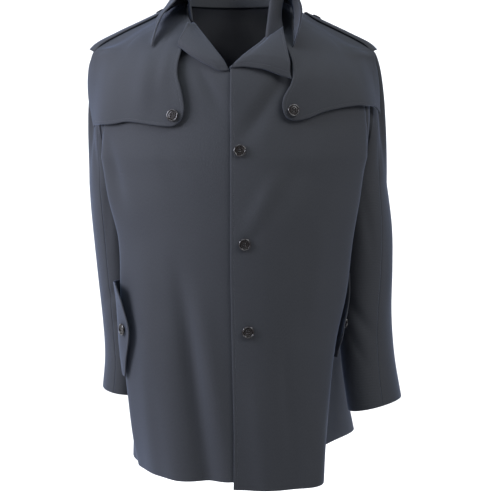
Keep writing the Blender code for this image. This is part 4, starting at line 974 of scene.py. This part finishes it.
# Steps from the front end to the middle of the back, and at each: the stand's height and its lean
# outward, the width of the roll over its top, how far the leaf bellies out, the place and height of
# the leaf's edge on the coat, and how far the stand bows in.
COLLAR = {
    "right": (
        (0, 0.030, 0.004, 0.0290, 0.0100, 1.40, -0.083, 0.000),
        (1, 0.030, 0.003, 0.0240, 0.0030, 1.85, -0.0500, 0.000),
        (2, 0.031, 0.000, 0.0190, 0.0000, 3.00, -0.0300, 0.000),
        (3, 0.033, -0.002, 0.0160, -0.0020, 3.62, -0.0165, 0.000),
        (4, 0.036, -0.003, 0.0140, -0.0030, 4.00, -0.0150, 0.000),
        (5, 0.040, -0.002, 0.0140, 0.0000, 4.50, -0.0225, 0.000),
        (6, 0.043, 0.000, 0.0140, 0.0020, 5.00, -0.0340, 0.000),
        (8, 0.046, 0.001, 0.0130, 0.0040, 6.00, -0.0420, 0.000),
    ),
    "left": (
        (0, 0.055, 0.003, 0.0200, 0.0130, 1.02, -0.083, 0.006),
        (0.7, 0.076, 0.013, 0.0320, 0.0040, 1.20, -0.066, 0.000),
        (1.2, 0.060, 0.004, 0.0250, 0.0030, 1.40, -0.053, 0.000),
        (2, 0.040, 0.002, 0.0170, -0.0010, 1.90, -0.034, 0.000),
        (3, 0.038, -0.002, 0.0140, -0.0040, 3.20, -0.0170, 0.000),
        (4, 0.037, -0.004, 0.0120, -0.0050, 3.96, -0.0130, 0.000),
        (5, 0.040, -0.002, 0.0130, -0.0010, 4.48, -0.0190, 0.000),
        (6, 0.043, 0.000, 0.0140, 0.0020, 5.00, -0.0320, 0.000),
        (8, 0.046, 0.001, 0.0130, 0.0040, 6.00, -0.0420, 0.000),
    ),
}
# Where the collar's front runs along the neck seam: (step, height). On the wearer's left it first
# follows the seam on the turned lapel, from the notch to the roll line.
COLLAR_FRONT = {
    "right": ((0, -0.035), (1, -0.0287), (2, -0.0163), (3, -0.004)),
    "left": ((0, -0.066), (0.7, -0.066), (1.2, -0.047), (2, -0.0163), (3, -0.004)),
}
NOTCH, NOTCH_STEP = (0.0850, -0.0990, -0.0495), 0.7
LEAF_LIFT, COLLAR_INSET = STRAP_LIFT + DOUBLE + 0.0030, 0.0038
# The neck's middle behind the shoulder line, how far the collar turns to the side in front of it,
# the foot above the seam, and the height of the roll as a share of its width.
NECK_MIDDLE, FRONT_TURN, FOOT_LIFT, ROLL_CROWN = 0.012, 0.5, 0.0005, 0.34


def collar_section(side, step):
    """The points across the collar at places round half the neck: up the stand and over the leaf."""
    step = np.asarray(step, float)
    height, lean, roll, belly, edge_u, edge_z, bow = (
        along_table(COLLAR[side], k, step)[:, None] for k in range(1, 8)
    )
    sign = own_sign(side)
    z = np.interp(step, *zip(*COLLAR_FRONT[side]))
    first = free_edge(side, z)
    past = np.where(step < 4, first + (SIDE - first) * (step - 3), SIDE + (step - 4) / 2)
    u = np.where(step < 3, first, past)
    seam = body(sign * u, z)
    ahead = seam[:, 1] - NECK_MIDDLE
    out = unit(np.stack([seam[:, 0], np.where(ahead < 0, FRONT_TURN, 1) * ahead, 0 * step], -1))
    rising = np.array((0, 0, 1.0))
    foot = seam - out * COLLAR_INSET + rising * FOOT_LIFT
    if side == "left":
        turned = np.clip(1 - step / NOTCH_STEP, 0, 1)[:, None]
        foot = foot + (np.array(NOTCH) - foot) * turned
    top = foot + out * lean + rising * height
    edge_u, edge_z = edge_u[:, 0], edge_z[:, 0]
    edge = body(sign * edge_u, edge_z) + form_facing(sign * edge_u, edge_z) * LEAF_LIFT
    across = unit((edge - top) * (1, 1, 0))
    shoulder = top + across * roll
    middle, crown = (top + shoulder) / 2, roll * ROLL_CROWN
    points = [foot + (top - foot) * t - across * bow * math.sin(math.pi * t) for t in (0, 0.35, 0.7)]
    for a in np.radians((180, 150, 115, 80, 45, 10)):
        points.append(middle + across * (roll / 2) * math.cos(a) + rising * crown * math.sin(a))
    for t in (0.25, 0.5, 0.75, 1.0):
        points.append(shoulder + (edge - shoulder) * t + across * belly * math.sin(math.pi * t**0.7))
    return np.stack(points, axis=1)


def through(points, at):
    """Rows of points on smooth curves through rows of points, at places counted along them."""
    last = points.shape[1] - 1
    k = np.clip(np.floor(at).astype(int), 0, last - 1)
    four = (np.take_along_axis(points, np.clip(k + j, 0, last)[..., None], axis=1) for j in NEIGHBOURS)
    return smooth_between(*four, (at - k)[..., None])


STAND_POINTS = 6  # how many of a section's points the stand takes; the leaf takes the rest
STAND_COLUMNS, LEAF_COLUMNS, HALF_COLLAR_ROWS = 20, 36, 78
steps = np.concatenate([[0, 0.025, 0.06, 0.12], np.linspace(0.2, 8, HALF_COLLAR_ROWS)])
sections = np.concatenate([collar_section("right", steps), collar_section("left", steps[-2::-1])])
row_shares = np.ones(len(sections))
row_shares[:4] = row_shares[:-5:-1] = PRESSED[:, 1]
ones = np.ones(len(sections))
foot_speed, fold_speed, edge_speed = (
    np.linalg.norm(sections[:, k] - sections[:, k - 1], axis=-1) for k in (1, STAND_POINTS, -1)
)
at, column_shares = places_between(0 * ones, (STAND_POINTS - 1) * ones, foot_speed, fold_speed,
                                   STAND_COLUMNS)
collar_stand = cloth_wall("collar_stand_cloth", through(sections, at), DOUBLE,
                          row_shares[:, None] * column_shares, lined=False)
at, column_shares = places_between(
    STAND_POINTS - 1 + SEAM / fold_speed, (sections.shape[1] - 1) * ones, fold_speed, edge_speed,
    LEAF_COLUMNS, (PRESSED, STITCHED),
)
collar_leaf = cloth_wall("collar_leaf_cloth", through(sections, at), DOUBLE,
                         row_shares[:, None] * column_shares, lined=False)
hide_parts("collar_stand")
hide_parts("collar_leaf")


# The lapels: the fronts' top corners with their facing, turned outward along the roll line and
# lying back on the chest, with the tip standing a little off it.

# Where each starts above the break, the end of its roll line and its corner at the collar (x, z),
# its tip (x, z), how far its face sags between, and how high its edge stands off.
LAPEL_COLUMNS = ("start", "roll_end", "corner", "tip", "bow", "lift")
LAPELS = {
    "right": (-0.0040, (0.0655, -0.0415), (0.0700, -0.0480), (0.0860, -0.0800), -0.0095, 0.0165),
    "left": (0.0003, (0.0500, -0.0690), (0.0790, -0.0570), (0.0950, -0.1335), 0.0050, 0.0175),
}
# The turn along the roll line: (toward the opening, outward), from the front's edge round onto it.
TURN = ((2 * SEAM, 0.0), (0.0028, 0.0009), (0.0036, 0.0034), (0.0024, 0.0058), (-0.0012, 0.0070))
TURN_HEIGHT, LAPEL_ROWS, LAPEL_COUNT = 0.0078, 34, 40

for side in ("right", "left"):
    row, sign = dict(zip(LAPEL_COLUMNS, LAPELS[side])), own_sign(side)
    low, high = BREAK[side] + row["start"], row["roll_end"][1]
    insets = STITCHED[:, 0]
    z = np.concatenate([low + insets, np.linspace(low + insets[-1], high - 0.003, LAPEL_ROWS)[1:],
                        high - insets[2::-1]])
    row_shares = np.concatenate([STITCHED[:, 1], np.ones(LAPEL_ROWS - 1), PRESSED[2::-1, 1]])
    v = (z - low) / (high - low)
    u = sign * free_edge(side, z)
    face = cloth_facing(u, z)
    roll = front_cloth(side, u, z)
    ahead, behind = (body(sign * free_edge(side, z + dz), z + dz) for dz in (0.004, -0.004))
    open_way = unit(np.cross(face, unit(ahead - behind))) * sign
    turned = np.clip((z - low) / 0.016, 0.15, 1)[:, None] ** 0.6
    points = [roll + (open_way * a + face * b) * turned for a, b in TURN]
    x0, x1 = np.abs(roll[:, 0]), row["tip"][0] + (row["corner"][0] - row["tip"][0]) * v
    z0, z1 = roll[:, 2], row["tip"][1] + (row["corner"][1] - row["tip"][1]) * v
    for r in (0.18, 0.36, 0.55, 0.78, 1.0):
        x = x0 + (x1 - x0) * r
        sag = 1.6 * (r + 0.04) ** 0.35 * (1 - r) ** 0.8 if side == "right" else math.sin(math.pi * r) ** 0.7
        height = z0 + (z1 - z0) * r + row["bow"] * sag * (1 - v)
        place = u_at_x(sign * x, height)
        lift = TURN_HEIGHT * turned[:, 0] + (row["lift"] - TURN_HEIGHT) * r + front_lift(side, place, height)
        points.append(body(place, height) + cloth_facing(place, height) * lift[:, None])
    sections = np.stack(points, axis=1)
    ones = np.ones(len(z))
    head, tail = (np.linalg.norm(sections[:, a] - sections[:, b], axis=-1) for a, b in ((1, 0), (-1, -2)))
    at, column_shares = places_between(0 * ones, (len(points) - 1) * ones, head, tail, LAPEL_COUNT,
                                       (PRESSED, STITCHED))
    lapel = cloth_wall("lapel_" + side + "_cloth", through(sections, at), DOUBLE,
                       np.minimum(row_shares[:, None], column_shares), lined=False)
    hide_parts("lapel_" + side)


# The edge stitching: one row of lockstitch in thread of the cloth's colour, 5.5 mm inside the free
# edges of the fronts, lapels, flaps, straps and collar, eight stitches to the inch.

STITCH, THREAD = 0.0031, 0.00032  # from one stitch to the next, and the thread's thickness


def thread_material():
    """Polyester-cotton sewing thread in navy: twisted, with a slight sheen, a shade off the cloth."""
    material, tree, shader = new_material("sewing_thread_navy", {"Roughness": 0.55, "Sheen Weight": 0.2})
    place = add_node(tree, "ShaderNodeTexCoord")
    noise = add_node(tree, "ShaderNodeTexNoise", [("Vector", place, "Object")], values={"Scale": 900.0})
    mix = two_tone(tree, noise, "1E1F24", "303138")
    tree.links.new(mix.outputs[2], shader.inputs["Base Color"])
    return material


sewing_thread = thread_material()


def stitch_tree():
    """Geometry nodes that lay stitches along curves: a flattened bead of thread for each one."""
    tree = bpy.data.node_groups.new("lockstitch", "GeometryNodeTree")
    for name, kind, way in (("Geometry", "Geometry", "INPUT"), ("Pitch", "Float", "INPUT"),
                            ("Thread", "Float", "INPUT"), ("Geometry", "Geometry", "OUTPUT")):
        tree.interface.new_socket(name, in_out=way, socket_type="NodeSocket" + kind)
    given = add_node(tree, "NodeGroupInput")
    curve = add_node(tree, "GeometryNodeMeshToCurve", [("Mesh", given, "Geometry")])
    places = add_node(tree, "GeometryNodeResampleCurve",
                      [("Curve", curve, "Curve"), ("Length", given, "Pitch")], mode="LENGTH")
    tangent = add_node(tree, "GeometryNodeInputTangent")
    turn = add_node(tree, "FunctionNodeAlignRotationToVector", [("Vector", tangent, "Tangent")], axis="X")
    bead = add_node(tree, "GeometryNodeMeshUVSphere", values={"Segments": 6, "Rings": 4, "Radius": 1.0})
    half = add_node(tree, "ShaderNodeMath", [(0, given, "Pitch")], operation="MULTIPLY")
    half.inputs[1].default_value = 0.40
    size = add_node(tree, "ShaderNodeCombineXYZ", [("X", half, "Value"), ("Y", given, "Thread"),
                                                  ("Z", given, "Thread")])
    beads = add_node(tree, "GeometryNodeInstanceOnPoints", [
        ("Points", places, "Curve"), ("Instance", bead, "Mesh"), ("Rotation", turn, "Rotation"),
        ("Scale", size, "Vector")])
    real = add_node(tree, "GeometryNodeRealizeInstances", [("Geometry", beads, "Instances")])
    dressed = add_node(tree, "GeometryNodeSetMaterial", [("Geometry", real, "Geometry")])
    dressed.inputs["Material"].default_value = sewing_thread
    add_node(tree, "NodeGroupOutput", [("Geometry", dressed, "Geometry")])
    return tree


lockstitch = stitch_tree()


def sew(name, paths):
    """Rows of stitches along paths of points, as one plain piece."""
    points = np.concatenate(paths)
    starts = np.cumsum([0] + [len(path) for path in paths])
    edges = [(k, k + 1) for a, b in zip(starts, starts[1:]) for k in range(a, b - 1)]
    mesh = bpy.data.meshes.new(name)
    mesh.from_pydata(points.tolist(), edges, [])
    rows = bpy.data.objects.new(name, mesh)
    bpy.context.collection.objects.link(rows)
    nodes = rows.modifiers.new("stitches", "NODES")
    nodes.node_group = lockstitch
    for item in lockstitch.interface.items_tree:
        if item.name in ("Pitch", "Thread"):
            nodes[item.identifier] = {"Pitch": STITCH, "Thread": THREAD / 2}[item.name]
    rows.data = bpy.data.meshes.new_from_object(rows.evaluated_get(bpy.context.evaluated_depsgraph_get()))
    rows.data.name = name
    rows.modifiers.clear()
    rows.data.shade_smooth()
    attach(rows, "root")


def stitch_path(name, corners, face):
    """A path on a piece's outer face (1) or inner one (-1), straight along its grid from one corner
    (row, column) to the next; negative ones count from the far side."""
    grid, half = stitch_lines[name]
    corners = [(row % grid.shape[0], column % grid.shape[1]) for row, column in corners]
    cells = corners[:1]
    for (row, column), (next_row, next_column) in zip(corners, corners[1:]):
        down, across = next_row - row, next_column - column
        count = max(abs(down), abs(across))
        cells += [(row + down * k // count, column + across * k // count) for k in range(1, count + 1)]
    rows, columns = zip(*cells)
    out = half[rows, columns] * face
    return grid[rows, columns] + out + unit(out) * THREAD * 0.25


IN = int(np.flatnonzero(STITCHED[:, 0] == STITCH_INSET)[0])  # the stitched row or column of a grid
FAR = -1 - IN
for side in ("right", "left"):
    heights, flap_heights = (stitch_lines[name][0][:, IN, 2]
                             for name in ("coat_front_" + side, "storm_flap_" + side + "_cloth"))
    low, *_, high = np.flatnonzero((heights > HEM + 0.004) & (heights < BREAK[side] - 0.002))
    top = np.flatnonzero(flap_heights < -0.03)[-1] - 1  # it ends under the strap and the collar
    for name, cloth, corners, faces in (
        ("front", f"coat_front_{side}", ((low, IN), (high, IN)), (1,)),
        ("storm_flap", f"storm_flap_{side}_cloth", ((IN, -2), (IN, IN), (top, IN)), (1,)),
        ("strap", f"shoulder_strap_{side}_cloth", ((-3, IN), (IN, IN), (IN, FAR), (-3, FAR)), (1,)),
        ("pocket_flap", f"pocket_flap_{side}_cloth", ((IN, 3), (IN, FAR), (FAR, FAR), (FAR, 3)), (1,)),
        ("lapel", f"lapel_{side}_cloth", ((IN, 16), (IN, FAR), (-3, FAR)), (1, -1)),
    ):
        sew(f"{name}_stitching_{side}", [stitch_path(cloth, corners, face) for face in faces])
sew("collar_stitching", [stitch_path("collar_leaf_cloth", ((4, FAR), (-5, FAR)), face) for face in (1, -1)])


# The buttons: 20 mm four-hole coat buttons turned from dark horn-like polyester, with a raised
# rim, sewn on with navy thread through the holes.

BUTTON, BUTTON_THICK, HOLE, HOLE_SPACING = 0.0200, 0.0038, 0.0024, 0.0041
# From the middle of its back round to the middle of its face: shares of its radius and thickness.
BUTTON_PROFILE = (
    (0.00, 0.00), (0.55, 0.00), (0.78, 0.06), (0.92, 0.24), (0.985, 0.46), (1.00, 0.62), (0.985, 0.80),
    (0.95, 0.93), (0.90, 0.99), (0.85, 1.00), (0.80, 0.97), (0.765, 0.88), (0.745, 0.74), (0.73, 0.58),
    (0.71, 0.52), (0.685, 0.54), (0.66, 0.60), (0.60, 0.63), (0.45, 0.63), (0.30, 0.62), (0.00, 0.62),
)
FRONT_BUTTONS = ((0.0130, -0.247), (0.0203, -0.397), (0.0262, -0.540))  # x, z on the upper front
STORM_BUTTONS = {"right": (0.0925, -0.1905), "left": (0.0965, -0.1825)}
FLAP_BUTTONS = {"right": (-0.5480, 0.72), "left": (-0.5400, 0.76)}  # z, share of the flap's width
STRAP_BUTTON = {"right": -0.0215, "left": -0.0310}  # its height on the strap
SMALL, SUNK = 0.75, 0.0008  # the straps' buttons are 15 mm, and pull into the cloth
BUTTON_LIFT, STORM_CLEAR, FLAP_CLEAR = 0.0003, 0.0006, 0.0004  # off the cloth, and off its curve
LOOP_RADIUS, LOOP_RISE, LOOP_PLACE, LOOP_SIDES = 0.00055, 0.0008, 0.56, 8  # the thread through it


def horn_button_material():
    """Cast polyester made like dark horn: near black with brown streaks, tumbled to a high gloss."""
    material, tree, shader = new_material("polyester_horn_button", {
        "Roughness": 0.24, "IOR": 1.54, "Coat Weight": 0.25, "Coat Roughness": 0.10})
    place = add_node(tree, "ShaderNodeTexCoord")
    streaks = add_node(tree, "ShaderNodeMapping", [("Vector", place, "Object")], values={
        "Scale": (1 / 0.006, 1 / 0.006, 1 / 0.0022), "Rotation": (0.2, 0.5, 0.3)})
    noise = add_node(tree, "ShaderNodeTexNoise", [("Vector", streaks, "Vector")],
                     values={"Scale": 1.0, "Detail": 3.0, "Distortion": 0.8})
    mix = two_tone(tree, noise, "100E0E", "2A2421")
    tree.links.new(mix.outputs[2], shader.inputs["Base Color"])
    return material


horn_button = horn_button_material()


def button_mesh():
    """One button, face up: a turned disc with four holes, and the thread that crosses them."""
    profile = bpy.data.meshes.new("button_profile")
    points = [(r * BUTTON / 2, 0, t * BUTTON_THICK) for r, t in BUTTON_PROFILE][::-1]
    profile.from_pydata(points, [(k, k + 1) for k in range(len(points) - 1)], [])
    blank = bpy.data.objects.new("button_blank", profile)
    drill = bmesh.new()
    for x in (-1, 1):
        for y in (-1, 1):
            place = Matrix.Translation((x * HOLE_SPACING / 2, y * HOLE_SPACING / 2, BUTTON_THICK / 2))
            bmesh.ops.create_cone(drill, cap_ends=True, segments=20, radius1=HOLE / 2, radius2=HOLE / 2,
                                  depth=3 * BUTTON_THICK, matrix=place)
    drilled = bpy.data.meshes.new("button_drill")
    drill.to_mesh(drilled)
    drill.free()
    holes = bpy.data.objects.new("button_drill", drilled)
    for item in (blank, holes):
        bpy.context.collection.objects.link(item)
    turn = blank.modifiers.new("turn", "SCREW")
    turn.steps = turn.render_steps = 56
    turn.use_merge_vertices, turn.merge_threshold = True, 0.00001
    cut = blank.modifiers.new("holes", "BOOLEAN")
    cut.operation, cut.object = "DIFFERENCE", holes
    disc = bpy.data.meshes.new_from_object(blank.evaluated_get(bpy.context.evaluated_depsgraph_get()))
    for item in (blank, holes):
        bpy.data.objects.remove(item)
    work = bmesh.new()
    work.from_mesh(disc)
    for face in work.faces:
        face.material_index = 0
        face.smooth = True
    for sign in (-1, 1):
        rings = []
        for t in np.linspace(0, math.pi, 11):
            centre = Vector((math.cos(t) * HOLE_SPACING / 2, sign * HOLE_SPACING / 2,
                             BUTTON_THICK * LOOP_PLACE + LOOP_RISE * math.sin(t)))
            turns = np.linspace(0, 2 * math.pi, LOOP_SIDES + 1)[:-1]
            ways = ((math.cos(t) * math.cos(a), math.sin(a), math.sin(t) * math.cos(a)) for a in turns)
            rings.append([work.verts.new(centre + LOOP_RADIUS * Vector(way)) for way in ways])
        for a, b in zip(rings, rings[1:]):
            for k in range(LOOP_SIDES):
                ahead = (k + 1) % LOOP_SIDES
                face = work.faces.new((a[k], a[ahead], b[ahead], b[k]))
                face.material_index, face.smooth = 1, True
        for end in (rings[0], rings[-1]):
            work.faces.new(end).material_index = 1
    bmesh.ops.recalc_face_normals(work, faces=work.faces)
    work.to_mesh(disc)
    work.free()
    disc.materials.clear()
    disc.materials.append(horn_button)
    disc.materials.append(sewing_thread)
    disc.set_sharp_from_angle(angle=math.radians(38))
    return disc


one_button = button_mesh()


def add_button(name, place, face, size=1.0):
    """A button whose back lies at the place and whose face looks the way the cloth does."""
    mesh = one_button.copy()
    turn = Vector(face).to_track_quat("Z", "Y").to_matrix().to_4x4()
    mesh.transform(Matrix.Translation(Vector(place)) @ turn @ Matrix.Scale(size, 4))
    piece = bpy.data.objects.new(name + "_horn", mesh)
    bpy.context.collection.objects.link(piece)
    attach(piece, "root")
    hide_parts(name)


for k, (x, z) in enumerate(FRONT_BUTTONS):
    x, z = np.array([x]), np.array([z])
    u = u_at_x(x, z)
    face = cloth_facing(u, z)
    lift = front_lift("left", u, z) + CLOTH / 2 + BUTTON_LIFT
    add_button(f"front_button_{k + 1}", (body(u, z) + face * lift[:, None])[0], face[0])
for side in ("right", "left"):
    sign = own_sign(side)
    x, z = (np.array([value]) for value in STORM_BUTTONS[side])
    u = u_at_x(sign * x, z)
    face = cloth_facing(u, z)
    across = (np.abs(u) - storm_edge(side, z)) / (armhole_edge(side, z) - storm_edge(side, z))
    lift = storm_lift(side, u, z, across) + DOUBLE / 2 + BUTTON_LIFT + STORM_CLEAR
    add_button("storm_button_" + side, (body(u, z) + face * lift[:, None])[0], face[0])
    z, share = (np.array([value]) for value in FLAP_BUTTONS[side])
    (u, lift), (near_u, near_lift) = flap_place(side, z, share), flap_place(side, z, share - 0.1)
    here = (body(u, z) + form_facing(u, z) * lift[:, None])[0]
    beside = (body(near_u, z) + form_facing(near_u, z) * near_lift[:, None])[0]
    face = unit(np.cross(here - beside, (0, 0, 1)) * -sign)
    add_button("pocket_button_" + side, here + face * (DOUBLE / 2 + BUTTON_LIFT + FLAP_CLEAR), face)
    u, z = np.array([sign * SIDE]), np.array([STRAP_BUTTON[side]])
    face = form_facing(u, z)[0]
    add_button("strap_button_" + side, form(u, z)[0] + face * (STRAP_LIFT + DOUBLE / 2 - SUNK), face, SMALL)


# The room: a plain pale floor that curves up into a wall, soft daylight from the viewer's left and
# from above, a softer light from the right, a light on the wall, and the camera at chest height.

FLOOR = -1.46  # the shoulders are this high above the floor when the coat is worn
LENS, TILT, CAMERA = 93.1, 83.38, (0.0296, -2.25, -0.165)


def paper_material():
    """Matt background paper, off-white."""
    material, tree, shader = new_material("background_paper", {"Roughness": 0.9})
    place = add_node(tree, "ShaderNodeTexCoord")
    noise = add_node(tree, "ShaderNodeTexNoise", [("Vector", place, "Object")], values={"Scale": 3.0})
    mix = two_tone(tree, noise, "F4F4F4", "F7F7F7")
    tree.links.new(mix.outputs[2], shader.inputs["Base Color"])
    return material


mesh = bmesh.new()
rows = []
for y, z in [(-6, 0), (3.5, 0)] + [(3.5 + 1.5 * math.sin(a), 1.5 - 1.5 * math.cos(a))
                                   for a in np.linspace(0.15, math.pi / 2, 10)] + [(5, 6)]:
    rows.append([mesh.verts.new((x, y, FLOOR + z)) for x in (-9, 9)])
for a, b in zip(rows, rows[1:]):
    mesh.faces.new((a[0], a[1], b[1], b[0])).smooth = True
data = bpy.data.meshes.new("paper_floor")
mesh.to_mesh(data)
mesh.free()
data.materials.append(paper_material())
floor = bpy.data.objects.new("paper_floor", data)
bpy.context.collection.objects.link(floor)


def add_light(name, place, target, size, watts, tint):
    """A large soft square light that looks at a target."""
    data = bpy.data.lights.new(name, "AREA")
    data.shape, data.size, data.energy, data.color = "SQUARE", size, watts, colour(tint)[:3]
    light = bpy.data.objects.new(name, data)
    light.location = place
    light.rotation_euler = (Vector(target) - Vector(place)).to_track_quat("-Z", "Y").to_euler()
    bpy.context.collection.objects.link(light)


add_light("window", (-1.5, -0.6, 0.3), (0, 0, -0.3), 0.9, 58, "ECEFFF")
add_light("softbox_above", (-0.7, -0.8, 2.4), (0, 0, -0.35), 2.0, 54, "E7F5FF")
add_light("softbox_right", (1.7, -1.1, 1.3), (0, 0, -0.2), 1.4, 58, "FBFCFF")
add_light("backdrop", (0, 1.2, 1.6), (0, 5, -0.3), 3.0, 175, "FFFFFF")
world = bpy.data.worlds.new("room")
world.use_nodes = True
world.node_tree.nodes["Background"].inputs["Color"].default_value = colour("EEF3FF")
world.node_tree.nodes["Background"].inputs["Strength"].default_value = 0.18
bpy.context.scene.world = world
bpy.context.scene.view_settings.view_transform = "Standard"

data = bpy.data.cameras.new("camera")
data.lens, data.sensor_width = LENS, 36
camera = bpy.data.objects.new("camera", data)
camera.location = CAMERA
camera.rotation_euler = (math.radians(TILT), 0, 0)
bpy.context.collection.objects.link(camera)
bpy.context.scene.camera = camera
